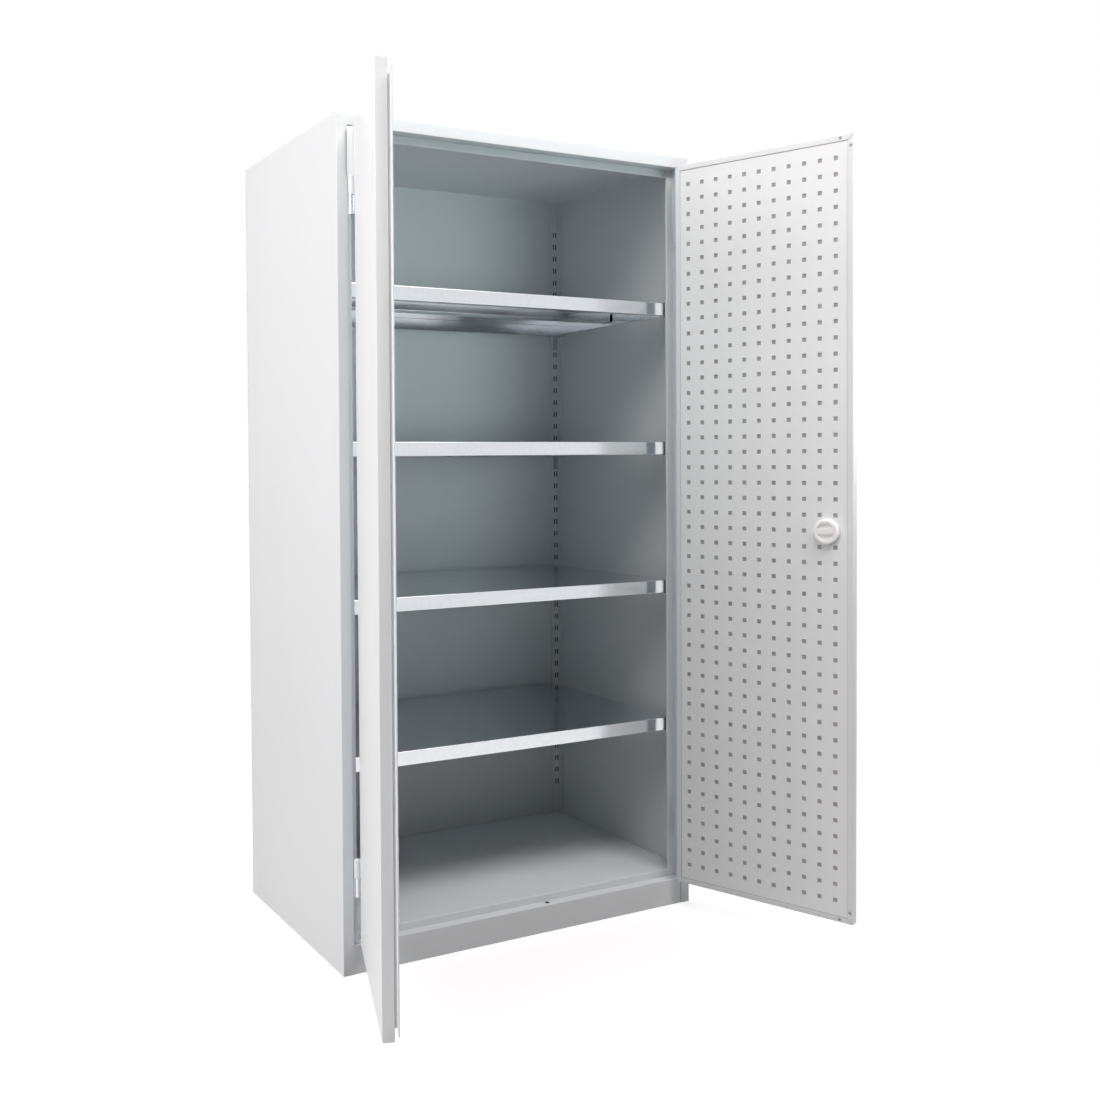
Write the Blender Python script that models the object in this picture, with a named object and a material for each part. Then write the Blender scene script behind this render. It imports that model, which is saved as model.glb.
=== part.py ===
"""Two-door steel workshop cabinet: folded carcass, hung shelves, pan doors with inner panels, rod lock.

Metres, +Z up. Lengths called depth run backwards from the front plane of the carcass.
The doors stand open, as photographed. The origin is on the ground, in the middle of the plinth's foot.
"""
import math

import bmesh
import bpy
from mathutils import Matrix, Vector

# Carcass
WIDTH = 1.000
DEPTH = 0.600
HEIGHT = 1.950
SHEET = 0.001
SEAT = 0.0003
FLANGE = 0.028
LIP = 0.020
LIP_RETURN = 0.006
REAR_FLANGE = 0.020
FASCIA = 0.028
TOP_LIP = 0.020
RAIL_FLANGE = 0.018
TOP_TURN = 0.020
PLINTH = 0.067
PLINTH_TURN = 0.012
FLOOR_RISE = 0.017
FLOOR_TURN = 0.025
FLOOR_RIB_DEPTH = 0.040
FLOOR_RIB_END = 0.030
FLOOR_RIB_WIDTH = 0.060
RIB_FLANGE = 0.015

# Uprights and their slots
UPRIGHT_SHEET = 0.0015
UPRIGHT_FACE = 0.027
UPRIGHT_SIDE = 0.025
SLOT_START = 0.1785
SLOT_PITCH = 0.0364
SLOT_WIDTH = 0.0032
SLOT_LENGTH = 0.015
SLOT_SPACING = 0.008
SLOT_EDGE = 0.006

# Shelves and clips
SHELF_COUNT = 4
LOWEST_SHELF_SLOT = 7
SHELF_SLOT_STEP = 10
SHELF_FLANGE = 0.034
SHELF_LIP = 0.012
SHELF_CORNER = 0.025
SHELF_CORNER_STEPS = 6
SHELF_SIDE_PLAY = 0.0017
SHELF_PLAY = 0.003
SHELF_RIB_DEPTH = 0.020
SHELF_RIB_WIDTH = 0.050
CLIP_SHEET = 0.0015
CLIP_HEIGHT = 0.040
CLIP_REACH = 0.015
CLIP_TONGUE = 0.035
CLIP_SIDE = 0.0035
HOOK_DROP = 0.0185
HOOK_WIDTH = 0.0016
HOOK_HEIGHT = 0.010

# Doors
DOOR_THICKNESS = 0.025
STOP_GAP = 0.002
DOOR_GAP = 0.003
MEETING_GAP = 0.004
DOOR_FLANGE = 0.013
PANEL_LAP = 0.008
DOOR_RIB_MARGIN = 0.025
LEFT_OPEN_DEGREES = 110.0
RIGHT_OPEN_DEGREES = 111.5

# Square tool holes in the right door's panel, two of them left out under the knob;
# the doors' ribs stand between two columns of holes
TOOL_HOLE = 0.010
TOOL_PITCH = 0.038
TOOL_START = 0.042
TOOL_SIDE_MARGIN = 0.030
TOOL_END_MARGIN = 0.045
RIB_HOLE_GAP = 0.002

# Stop strip on the left door's free edge
STRIP_SHEET = 0.0012
STRIP_FOOT = 0.010
STRIP_SETBACK = 0.003
STRIP_STANDOFF = 0.004
STRIP_REACH = 0.014
STRIP_HEM = 0.0032
STRIP_END_GAP = 0.003
STRIP_NOTCH = 0.009
STRIP_EAR = 0.006

# Hinges
HINGE_GAP = 0.012
AXIS_FORWARD = 0.006
HINGE_INSET = 0.153
KNUCKLE = 0.044
DOOR_KNUCKLE_RADIUS = 0.0075
FRAME_KNUCKLE_RADIUS = 0.006
PIN_RADIUS = 0.003
PIN_CLEARANCE = 0.0003
PIN_SHORTFALL = 0.004
LEAF = 0.002
LEAF_MARGIN = 0.003
STRAP_NOSE = 0.0098
STRAP_END_GAP = 0.001
ROUND_SIDES = 32

# Lock
HANDLE_INSET = 0.061
ROSETTE_RADIUS = 0.029
ROSETTE_THICKNESS = 0.005
NECK_RADIUS = 0.010
HANDLE_RADIUS = 0.026
HANDLE_DISC = 0.012
GRIP_WIDTH = 0.016
GRIP_HEIGHT = 0.018
GRIP_END_GAP = 0.002
CYLINDER_RADIUS = 0.0065
CYLINDER_FACE = 0.0015
KEYWAY_WIDTH = 0.0016
KEYWAY_LENGTH = 0.008
KEYWAY_DEPTH = 0.0008
SPINDLE_RADIUS = 0.005
RUNNING_GAP = 0.0004
CAM_RADIUS = 0.016
CAM_THICKNESS = 0.003
CAM_PIN_RADIUS = 0.002
CAM_PIN_OFFSET = 0.0106
CAM_PIN_PLAY = 0.0006
TAB_GAP = 0.001
TAB_THICKNESS = 0.0025
TAB_WALL = 0.004
TAB_HEAD = 0.016
ROD_RADIUS = 0.004
ROD_PLAY = 0.0018
ROD_START = 0.020
ROD_TIP_GAP = 0.003
BOLT_HOLE_RADIUS = 0.006
KNOB_RADIUS = 0.0305
KNOB_RECESS_RADIUS = 0.020
KNOB_HEIGHT = 0.014
KNOB_FLOOR = 0.009
KNOB_BAR = 0.013
KNOB_EDGE = 0.0015

# Places that follow from the sizes above
half = WIDTH / 2
wall = half - SHEET - SEAT
opening = half - FLANGE
jamb = DOOR_THICKNESS + STOP_GAP
between_lips = opening - LIP - SEAT
front_plane = -(jamb - SEAT) / 2
back_face = DEPTH - SHEET - SEAT
rear_end = back_face - SHEET - SEAT
floor_top = PLINTH + FLOOR_RISE
fascia_low = HEIGHT - FASCIA
rail_low = fascia_low - SEAT - TOP_LIP
rear_upright_high = HEIGHT - TOP_TURN - SEAT
front_upright_high = fascia_low - SEAT
rear_slot_face = rear_end - UPRIGHT_SHEET
front_slot_face = jamb + SHEET + SEAT + UPRIGHT_SHEET
door_low = PLINTH + DOOR_GAP
door_high = fascia_low - DOOR_GAP
door_middle = (door_low + door_high) / 2
hinge_edge = opening - HINGE_GAP
free_edge = MEETING_GAP / 2
axis_x = opening - HINGE_GAP / 2
panel_high = DOOR_THICKNESS - SHEET - SEAT
panel_low = panel_high - SHEET
tool_start = free_edge + TOOL_START
tool_steps = int((hinge_edge - TOOL_SIDE_MARGIN - tool_start) / TOOL_PITCH)
tool_columns = [tool_start + TOOL_PITCH * i for i in range(tool_steps + 1)]
door_rib_middle = (tool_columns[tool_steps // 2 - 1] + tool_columns[tool_steps // 2]) / 2
strip_back = DOOR_THICKNESS + SEAT + STRIP_STANDOFF + STRIP_HEM
handle_x = free_edge + HANDLE_INSET
rod_depth = panel_low - ROD_PLAY - ROD_RADIUS
tab_low = rod_depth - TAB_THICKNESS / 2
tab_high = tab_low + TAB_THICKNESS
cam_high = tab_low - TAB_GAP
cam_low = cam_high - CAM_THICKNESS
shelf_front = max(strip_back, jamb + LIP_RETURN) + SHELF_PLAY
shelf_rear = rear_slot_face - SEAT - CLIP_SHEET - SHELF_PLAY
shelf_side = wall - UPRIGHT_FACE - SHELF_SIDE_PLAY
slot_columns = (wall - SLOT_EDGE, wall - SLOT_EDGE - SLOT_SPACING)
BEYOND = 0.010

for item in list(bpy.data.objects):
    bpy.data.objects.remove(item, do_unlink=True)


# Materials
def paint(name, colour, roughness, metallic):
    """Makes one Principled material."""
    material = bpy.data.materials.new(name)
    material.use_nodes = True
    shader = material.node_tree.nodes["Principled BSDF"]
    shader.inputs["Base Color"].default_value = (*colour, 1.0)
    shader.inputs["Roughness"].default_value = roughness
    shader.inputs["Metallic"].default_value = metallic
    return material


grey_paint = paint("light_grey_paint", (0.80, 0.81, 0.82), 0.45, 0.0)
door_paint = paint("door_paint", (0.83, 0.84, 0.84), 0.42, 0.0)
panel_paint = paint("panel_paint", (0.78, 0.79, 0.79), 0.50, 0.0)
zinc = paint("galvanised_steel", (0.66, 0.69, 0.72), 0.30, 1.0)
steel = paint("bright_steel", (0.60, 0.60, 0.61), 0.25, 1.0)
white_plastic = paint("white_plastic", (0.88, 0.88, 0.87), 0.40, 0.0)
dark_plastic = paint("dark_plastic", (0.05, 0.05, 0.055), 0.45, 0.0)


# Mesh helpers
def spot(axis, u, v, along):
    """Puts two cross-section coordinates and a place along an axis into x, y, z order."""
    if axis == "x":
        return (along, u, v)
    if axis == "y":
        return (u, along, v)
    return (u, v, along)


def skin(rings, closed=False):
    """Joins equal rings of points into one closed mesh, capped at both ends or closed on itself."""
    mesh = bmesh.new()
    rows = [[mesh.verts.new(point) for point in ring] for ring in rings]
    pairs = list(zip(rows, rows[1:]))
    if closed:
        pairs.append((rows[-1], rows[0]))
    else:
        mesh.faces.new(rows[0])
        mesh.faces.new(rows[-1])
    count = len(rows[0])
    for one, two in pairs:
        for i in range(count):
            j = (i + 1) % count
            mesh.faces.new((one[i], one[j], two[j], two[i]))
    return mesh


def block(low, high):
    """A box between two corners."""
    corners = [(low[0], low[1]), (high[0], low[1]), (high[0], high[1]), (low[0], high[1])]
    return skin([[(x, y, z) for x, y in corners] for z in (low[2], high[2])])


def turned(profile, centre, axis, closed=False):
    """Turns (radius, along) pairs about an axis through a centre in the cross-section."""
    rings = []
    for radius, along in profile:
        ring = []
        for i in range(ROUND_SIDES):
            angle = 2 * math.pi * i / ROUND_SIDES
            u = centre[0] + radius * math.cos(angle)
            v = centre[1] + radius * math.sin(angle)
            ring.append(spot(axis, u, v, along))
        rings.append(ring)
    return skin(rings, closed)


def bar(radius, centre, axis, low, high):
    """A round bar."""
    return turned([(radius, low), (radius, high)], centre, axis)


def folded(path, sheet, axis, low, high):
    """Extrudes a folded sheet. The thickness lies left of the path if positive, right if negative."""
    points = [Vector(point) for point in path]
    normals = []
    for one, two in zip(points, points[1:]):
        way = (two - one).normalized()
        normals.append(Vector((-way.y, way.x)))
    other = []
    for i, point in enumerate(points):
        before = normals[max(i - 1, 0)]
        after = normals[min(i, len(normals) - 1)]
        other.append(point + sheet * (before + after) / (1 + before.dot(after)))
    mesh = bmesh.new()
    rows = []
    for along in (low, high):
        rows.append([[mesh.verts.new(spot(axis, p.x, p.y, along)) for p in line] for line in (points, other)])
    (face_low, back_low), (face_high, back_high) = rows
    for i in range(len(points) - 1):
        mesh.faces.new((face_low[i], face_low[i + 1], face_high[i + 1], face_high[i]))
        mesh.faces.new((back_low[i], back_low[i + 1], back_high[i + 1], back_high[i]))
        mesh.faces.new((face_low[i], face_low[i + 1], back_low[i + 1], back_low[i]))
        mesh.faces.new((face_high[i], face_high[i + 1], back_high[i + 1], back_high[i]))
    for i in (0, len(points) - 1):
        mesh.faces.new((face_low[i], face_high[i], back_high[i], back_low[i]))
    return mesh


def hat(middle, width, depth, flange, top, sheet, axis, low, high):
    """A hat rib hung below a height, with its flanges up against what it stiffens."""
    inner = width / 2
    path = [(middle - inner - flange, top), (middle - inner, top), (middle - inner, top - depth),
            (middle + inner, top - depth), (middle + inner, top), (middle + inner + flange, top)]
    return folded(path, -sheet, axis, low, high)


def rectangle(u_low, u_high, v_low, v_high):
    """A rectangle that can be drawn inset."""
    def outline(inset):
        a, b = u_low + inset, u_high - inset
        c, d = v_low + inset, v_high - inset
        return [(a, c), (b, c), (b, d), (a, d)]
    return outline


def rounded_front(side, front, rear, radius):
    """A shelf outline with both front corners rounded, that can be drawn inset."""
    def outline(inset):
        points = [(side - inset, rear - inset), (inset - side, rear - inset)]
        for sign in (-1, 1):
            for i in range(SHELF_CORNER_STEPS + 1):
                step = i if sign < 0 else SHELF_CORNER_STEPS - i
                angle = math.pi / 2 * step / SHELF_CORNER_STEPS
                u = side - radius + (radius - inset) * math.cos(angle)
                v = front + radius - (radius - inset) * math.sin(angle)
                points.append((sign * u, v))
        return points
    return outline


def tray(outline, axis, shut, mouth, sheet, lip):
    """A pan closed at one end, with its walls turned in to a lip at the mouth."""
    way = sheet if mouth > shut else -sheet
    steps = [(0, shut), (0, mouth), (lip, mouth), (lip, mouth - way), (sheet, mouth - way), (sheet, shut + way)]
    return skin([[spot(axis, u, v, along) for u, v in outline(inset)] for inset, along in steps])


def cells(u_lines, v_lines, is_open, axis, low, high):
    """A sheet on a grid of lines, left open in some cells."""
    mesh = bmesh.new()
    known = {}

    def corner(i, j, along):
        if (i, j, along) not in known:
            known[i, j, along] = mesh.verts.new(spot(axis, u_lines[i], v_lines[j], along))
        return known[i, j, along]

    columns, rows = len(u_lines) - 1, len(v_lines) - 1

    def solid(i, j):
        return 0 <= i < columns and 0 <= j < rows and not is_open(i, j)

    for i in range(columns):
        for j in range(rows):
            if not solid(i, j):
                continue
            for along in (low, high):
                mesh.faces.new((corner(i, j, along), corner(i + 1, j, along),
                                corner(i + 1, j + 1, along), corner(i, j + 1, along)))
            sides = (((i - 1, j), (i, j), (i, j + 1)), ((i + 1, j), (i + 1, j), (i + 1, j + 1)),
                     ((i, j - 1), (i, j), (i + 1, j)), ((i, j + 1), (i, j + 1), (i + 1, j + 1)))
            for beside, one, two in sides:
                if not solid(*beside):
                    mesh.faces.new((corner(*one, low), corner(*two, low), corner(*two, high), corner(*one, high)))
    return mesh


def outward(mesh):
    """Turns the faces of each separate solid outwards."""
    bmesh.ops.recalc_face_normals(mesh, faces=mesh.faces[:])
    seen = set()
    for first in mesh.faces:
        if first in seen:
            continue
        seen.add(first)
        solid = [first]
        for face in solid:
            for edge in face.edges:
                fresh = [other for other in edge.link_faces if other not in seen]
                seen.update(fresh)
                solid.extend(fresh)
        volume = 0.0
        for face in solid:
            a, *others = [vertex.co for vertex in face.verts]
            volume += sum(a.dot(b.cross(c)) for b, c in zip(others, others[1:]))
        if volume < 0:
            bmesh.ops.reverse_faces(mesh, faces=solid)
    return mesh


def combine(base, tool, operation):
    """Joins two closed meshes, or cuts the second from the first."""
    pair = []
    for mesh in (base, tool):
        data = bpy.data.meshes.new("working_mesh")
        outward(mesh).to_mesh(data)
        mesh.free()
        item = bpy.data.objects.new("working_piece", data)
        bpy.context.collection.objects.link(item)
        pair.append(item)
    modifier = pair[0].modifiers.new("boolean", "BOOLEAN")
    modifier.operation = operation
    modifier.solver = "EXACT"
    modifier.object = pair[1]
    result = bmesh.new()
    result.from_object(pair[0], bpy.context.evaluated_depsgraph_get())
    for item in pair:
        bpy.data.objects.remove(item, do_unlink=True)
    return result


def join(*meshes):
    """Joins overlapping closed meshes into one solid."""
    result = meshes[0]
    for mesh in meshes[1:]:
        result = combine(result, mesh, "UNION")
    return result


def cut(mesh, *tools):
    """Cuts closed meshes out of a solid."""
    for tool in tools:
        mesh = combine(mesh, tool, "DIFFERENCE")
    return mesh


def group(*meshes):
    """Keeps separate solids together in one mesh."""
    result = bmesh.new()
    for mesh in meshes:
        data = bpy.data.meshes.new("working_mesh")
        outward(mesh).to_mesh(data)
        mesh.free()
        result.from_mesh(data)
        bpy.data.meshes.remove(data)
    return result


def moved(mesh, matrix):
    """A moved or mirrored copy."""
    copy = mesh.copy()
    copy.transform(matrix)
    return copy


MIRROR_X = Matrix.Scale(-1, 4, Vector((1, 0, 0)))


def frame(name, place, parent=None, degrees=0.0):
    """An empty that carries pieces, turned about its upright axis."""
    item = bpy.data.objects.new(name, None)
    item.location = place
    item.rotation_euler = (0, 0, math.radians(degrees))
    item.parent = parent
    bpy.context.collection.objects.link(item)
    return item


def piece(name, mesh, material, carrier, origin=(0, 0, 0), side=1):
    """Names a finished solid, mirrored for the left side, drawn from its carrier's origin."""
    if side < 0:
        mesh.transform(MIRROR_X)
    mesh.transform(Matrix.Translation(-Vector(origin)))
    data = bpy.data.meshes.new(name)
    outward(mesh).to_mesh(data)
    mesh.free()
    data.materials.append(material)
    item = bpy.data.objects.new(name, data)
    item.parent = carrier
    bpy.context.collection.objects.link(item)
    return item


# Carriers: the carcass, the two hinge axes and the handle's axis
right_axis = (axis_x, -AXIS_FORWARD, 0)
left_axis = (-axis_x, -AXIS_FORWARD, 0)
handle_axis = (handle_x, 0, door_middle)
carcass = frame("carcass", (0, front_plane, 0))
left_door = frame("left_hinge_axis", left_axis, carcass, -LEFT_OPEN_DEGREES)
right_door = frame("right_hinge_axis", right_axis, carcass, RIGHT_OPEN_DEGREES)
handle = frame("handle_axis", Vector(handle_axis) - Vector(right_axis), right_door)


# Carcass sheets
def side_panel():
    """Side sheet with rear flange, front flange, jamb and stop lip; the lip makes way for the top."""
    path = [(half - REAR_FLANGE, back_face), (half, back_face), (half, 0), (opening, 0), (opening, jamb),
            (opening - LIP, jamb), (opening - LIP, jamb + LIP_RETURN)]
    top_notch = block((opening - LIP - BEYOND, -BEYOND, fascia_low - SEAT),
                      (wall, jamb + LIP_RETURN + BEYOND, HEIGHT + BEYOND))
    return cut(folded(path, -SHEET, "z", 0, HEIGHT), top_notch)


def top_panel():
    """Top sheet with front fascia, its return over the doors and a rear turn-down."""
    end = wall - SEAT
    path = [(rear_end, HEIGHT - TOP_TURN), (rear_end, HEIGHT), (0, HEIGHT), (0, fascia_low),
            (jamb + RAIL_FLANGE, fascia_low)]
    bolt_hole = bar(BOLT_HOLE_RADIUS, (handle_x, rod_depth), "z", fascia_low - BEYOND, fascia_low + BEYOND)
    return cut(folded(path, SHEET, "x", -end, end), bolt_hole)


def top_stop_rail():
    """Rail under the fascia's return that stops the doors at the top."""
    top = fascia_low - SEAT
    path = [(jamb + RAIL_FLANGE, top), (jamb, top), (jamb, rail_low), (jamb + LIP_RETURN, rail_low)]
    return folded(path, SHEET, "x", -between_lips, between_lips)


def plinth():
    """Plinth with foot, ledge under the doors and a turn-down behind the ledge."""
    end = opening - SEAT
    inner = jamb - SEAT
    path = [(inner, 0), (0, 0), (0, PLINTH), (inner, PLINTH), (inner, PLINTH - PLINTH_TURN)]
    bolt_hole = bar(BOLT_HOLE_RADIUS, (handle_x, rod_depth), "z", PLINTH - BEYOND, PLINTH + BEYOND)
    return cut(folded(path, -SHEET, "x", -end, end), bolt_hole)


def floor_panel():
    """Raised floor whose front turn-down stops the doors at the bottom, notched round the stop lips."""
    path = [(jamb, PLINTH - PLINTH_TURN), (jamb, floor_top), (rear_end, floor_top),
            (rear_end, floor_top - FLOOR_TURN)]
    notch = block((between_lips, -BEYOND, 0), (half, jamb + LIP_RETURN + SEAT, HEIGHT))
    notches = (moved(notch, MIRROR_X), notch)
    return cut(folded(path, -SHEET, "x", -wall, wall), *notches)


def floor_stiffener():
    """Hat rib under the floor, from side to side."""
    end = wall - FLOOR_RIB_END
    top = floor_top - SHEET - SEAT
    return hat(DEPTH / 2, FLOOR_RIB_WIDTH, FLOOR_RIB_DEPTH, RIB_FLANGE, top, SHEET, "x", -end, end)


for side, word in ((-1, "left"), (1, "right")):
    piece(f"{word}_side_panel", side_panel(), grey_paint, carcass, side=side)
piece("back_panel", block((-half, DEPTH - SHEET, 0), (half, DEPTH, HEIGHT)), grey_paint, carcass)
piece("top_panel", top_panel(), grey_paint, carcass)
piece("top_stop_rail", top_stop_rail(), grey_paint, carcass)
piece("plinth_front", plinth(), grey_paint, carcass)
piece("floor_panel", floor_panel(), grey_paint, carcass)
piece("floor_stiffener", floor_stiffener(), zinc, carcass)


# Shelf heights
def shelf_slot(number):
    """Height of the slots that carry a shelf, counted from the top shelf."""
    return SLOT_START + SLOT_PITCH * (LOWEST_SHELF_SLOT + SHELF_SLOT_STEP * (SHELF_COUNT - number))


shelf_numbers = range(1, SHELF_COUNT + 1)
shelf_lows = {number: shelf_slot(number) + HOOK_DROP for number in shelf_numbers}


# Uprights
def upright(corner, along_wall, high):
    """Slotted angle in a corner: one face across, one leg along the side sheet."""
    path = [(wall - UPRIGHT_FACE, corner), (wall, corner), (wall, along_wall)]
    sheet = -UPRIGHT_SHEET if along_wall < corner else UPRIGHT_SHEET
    mesh = folded(path, sheet, "z", floor_top + SEAT, high)
    slots = []
    for number in shelf_numbers:
        middle = shelf_slot(number)
        for column in slot_columns:
            slots.append(block((column - SLOT_WIDTH / 2, corner - BEYOND / 4, middle - SLOT_LENGTH / 2),
                               (column + SLOT_WIDTH / 2, corner + BEYOND / 4, middle + SLOT_LENGTH / 2)))
    return cut(mesh, group(*slots))


front_corner = jamb + SHEET + SEAT
for side, word in ((-1, "left"), (1, "right")):
    rear_post = upright(rear_end, rear_end - UPRIGHT_SIDE, rear_upright_high)
    front_post = upright(front_corner, front_corner + UPRIGHT_SIDE, front_upright_high)
    piece(f"rear_{word}_upright", rear_post, grey_paint, carcass, side=side)
    piece(f"front_{word}_upright", front_post, grey_paint, carcass, side=side)


# Shelf clips
def rear_clip():
    """Clip hooked into both slots of a rear upright, drawn for a shelf whose underside is at zero."""
    face = rear_slot_face - SEAT
    outer = slot_columns[0] + CLIP_SIDE
    inner = slot_columns[1] - CLIP_SIDE
    top = -SEAT
    plate = block((inner, face - CLIP_SHEET, top - CLIP_HEIGHT), (outer, face, top - CLIP_SHEET / 2))
    tongue = block((shelf_side - CLIP_REACH, face - CLIP_TONGUE, top - CLIP_SHEET),
                   (outer + CLIP_SHEET / 4, face - CLIP_SHEET / 2, top))
    hooks = []
    for column in slot_columns:
        low = (column - HOOK_WIDTH / 2, face - CLIP_SHEET / 2, -HOOK_DROP - HOOK_HEIGHT / 2)
        high = (column + HOOK_WIDTH / 2, rear_end, -HOOK_DROP + HOOK_HEIGHT / 2)
        hooks.append(block(low, high))
    return join(plate, tongue, *hooks)


one_clip = rear_clip()
to_front = Matrix.Translation((0, rear_slot_face + front_slot_face, 0)) @ Matrix.Scale(-1, 4, Vector((0, 1, 0)))
for number in shelf_numbers:
    lift = Matrix.Translation((0, 0, shelf_lows[number]))
    for side, word in ((-1, "left"), (1, "right")):
        piece(f"shelf_{number}_rear_{word}_clip", moved(one_clip, lift), zinc, carcass, side=side)
        piece(f"shelf_{number}_front_{word}_clip", moved(one_clip, lift @ to_front), zinc, carcass, side=side)
one_clip.free()


# Shelves with their ribs
shelf_outline = rounded_front(shelf_side, shelf_front, shelf_rear, SHELF_CORNER)
shelf_middle = (shelf_front + shelf_rear) / 2
for number in shelf_numbers:
    low = shelf_lows[number]
    high = low + SHELF_FLANGE
    rib_end = shelf_side - SHEET - SEAT
    rib = hat(shelf_middle, SHELF_RIB_WIDTH, SHELF_RIB_DEPTH, RIB_FLANGE, high - SHEET - SEAT, SHEET,
              "x", -rib_end, rib_end)
    piece(f"shelf_{number}", tray(shelf_outline, "z", high, low, SHEET, SHELF_LIP), zinc, carcass)
    piece(f"shelf_{number}_stiffener", rib, zinc, carcass)


# Hinges: the door's half sits on the frame's half and turns on its pin
hinge_heights = (door_low + HINGE_INSET, door_high - HINGE_INSET)
axis_spot = (axis_x, -AXIS_FORWARD)


def door_hinge(height, top):
    """Bored knuckle with a leaf on the door's edge, the leaf going on up to a given height."""
    low = height + SEAT / 2
    high = low + KNUCKLE
    bore = PIN_RADIUS + PIN_CLEARANCE
    knuckle = turned([(DOOR_KNUCKLE_RADIUS, low), (DOOR_KNUCKLE_RADIUS, high), (bore, high), (bore, low)],
                     axis_spot, "z", closed=True)
    leaf_side = hinge_edge + SEAT
    leaf = block((leaf_side, -AXIS_FORWARD, low + SEAT), (leaf_side + LEAF, DOOR_THICKNESS - LEAF_MARGIN, top))
    mesh = join(knuckle, leaf)
    if top > high:
        strap = block((leaf_side + LEAF / 4, -AXIS_FORWARD - STRAP_NOSE, high - KNUCKLE / 8),
                      (leaf_side + LEAF * 3 / 4, LEAF_MARGIN, top - STRAP_END_GAP))
        mesh = join(mesh, strap)
    return mesh


def frame_hinge(height):
    """Solid knuckle with its pin and a leaf on the jamb."""
    high = height - SEAT / 2
    low = high - KNUCKLE
    tip = high + KNUCKLE - PIN_SHORTFALL
    knuckle = turned([(FRAME_KNUCKLE_RADIUS, low), (FRAME_KNUCKLE_RADIUS, high), (PIN_RADIUS, high),
                      (PIN_RADIUS, tip)], axis_spot, "z")
    leaf_side = opening - SEAT
    leaf = block((leaf_side - LEAF, -AXIS_FORWARD, low + SEAT), (leaf_side, jamb - LEAF_MARGIN, high - SEAT))
    return join(knuckle, leaf)


for side, word, carrier, origin in ((-1, "left", left_door, left_axis), (1, "right", right_door, right_axis)):
    lower, upper = hinge_heights
    lower_half = door_hinge(lower, lower + KNUCKLE - SEAT)
    upper_half = door_hinge(upper, door_high - STRAP_END_GAP)
    piece(f"{word}_lower_door_hinge", lower_half, door_paint, carrier, origin, side)
    piece(f"{word}_upper_door_hinge", upper_half, door_paint, carrier, origin, side)
    piece(f"{word}_lower_frame_hinge", frame_hinge(lower), zinc, carcass, side=side)
    piece(f"{word}_upper_frame_hinge", frame_hinge(upper), zinc, carcass, side=side)


# Doors
door_outline = rectangle(free_edge, hinge_edge, door_low, door_high)


def door_pan(holes):
    """Door skin with its edges turned in to an inner flange, bored for the lock."""
    return cut(tray(door_outline, "y", 0, DOOR_THICKNESS, SHEET, DOOR_FLANGE), *holes)


def door_panel():
    """Inner panel laid against the back of the flange."""
    inset = DOOR_FLANGE - PANEL_LAP
    (a, c), _, (b, d), _ = door_outline(inset)
    return block((a, panel_low, c), (b, panel_high, d))


def tool_panel():
    """Inner panel with square tool holes, in rows spread evenly about the door's middle."""
    inset = DOOR_FLANGE - PANEL_LAP
    (a, c), _, (b, d), _ = door_outline(inset)
    reach = int(((door_high - door_low) / 2 - TOOL_END_MARGIN) / TOOL_PITCH)
    rows = [door_middle + TOOL_PITCH * j for j in range(-reach, reach + 1)]
    u_lines = [a, *(u + side * TOOL_HOLE / 2 for u in tool_columns for side in (-1, 1)), b]
    v_lines = [c, *(v + side * TOOL_HOLE / 2 for v in rows for side in (-1, 1)), d]

    def is_open(i, j):
        if i % 2 == 0 or j % 2 == 0:
            return False
        off = (tool_columns[i // 2] - handle_x, rows[j // 2] - door_middle)
        return max(abs(off[0]), abs(off[1])) > KNOB_RADIUS

    return cells(u_lines, v_lines, is_open, "y", panel_low, panel_high)


def door_rib():
    """Upright channel between the door's skin and its inner panel."""
    middle = door_rib_middle
    inner = (TOOL_PITCH - TOOL_HOLE) / 2 - RIB_HOLE_GAP
    low, high = SHEET + SEAT, panel_low - SEAT - SHEET
    path = [(middle - inner - RIB_FLANGE, low), (middle - inner, low), (middle - inner, high),
            (middle + inner, high), (middle + inner, low), (middle + inner + RIB_FLANGE, low)]
    return folded(path, SHEET, "z", door_low + DOOR_RIB_MARGIN, door_high - DOOR_RIB_MARGIN)


def stop_strip():
    """Stepped strip on the left door's flange that reaches behind the right door, notched at both ends."""
    foot = free_edge + STRIP_SETBACK
    seat = DOOR_THICKNESS + SEAT
    blade = seat + STRIP_STANDOFF
    path = [(foot + STRIP_FOOT, seat), (foot, seat), (foot, blade), (-STRIP_REACH, blade), (-STRIP_REACH, strip_back)]
    low = floor_top + STRIP_END_GAP
    high = rail_low - STRIP_END_GAP
    mesh = folded(path, -STRIP_SHEET, "z", low, high)
    for one, two in ((low - BEYOND, low + STRIP_NOTCH), (high - STRIP_NOTCH, high + BEYOND)):
        ear = STRIP_EAR - STRIP_REACH
        mesh = cut(mesh, block((ear, seat - BEYOND, one), (foot + STRIP_FOOT + BEYOND, strip_back + BEYOND, two)))
    return mesh


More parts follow.
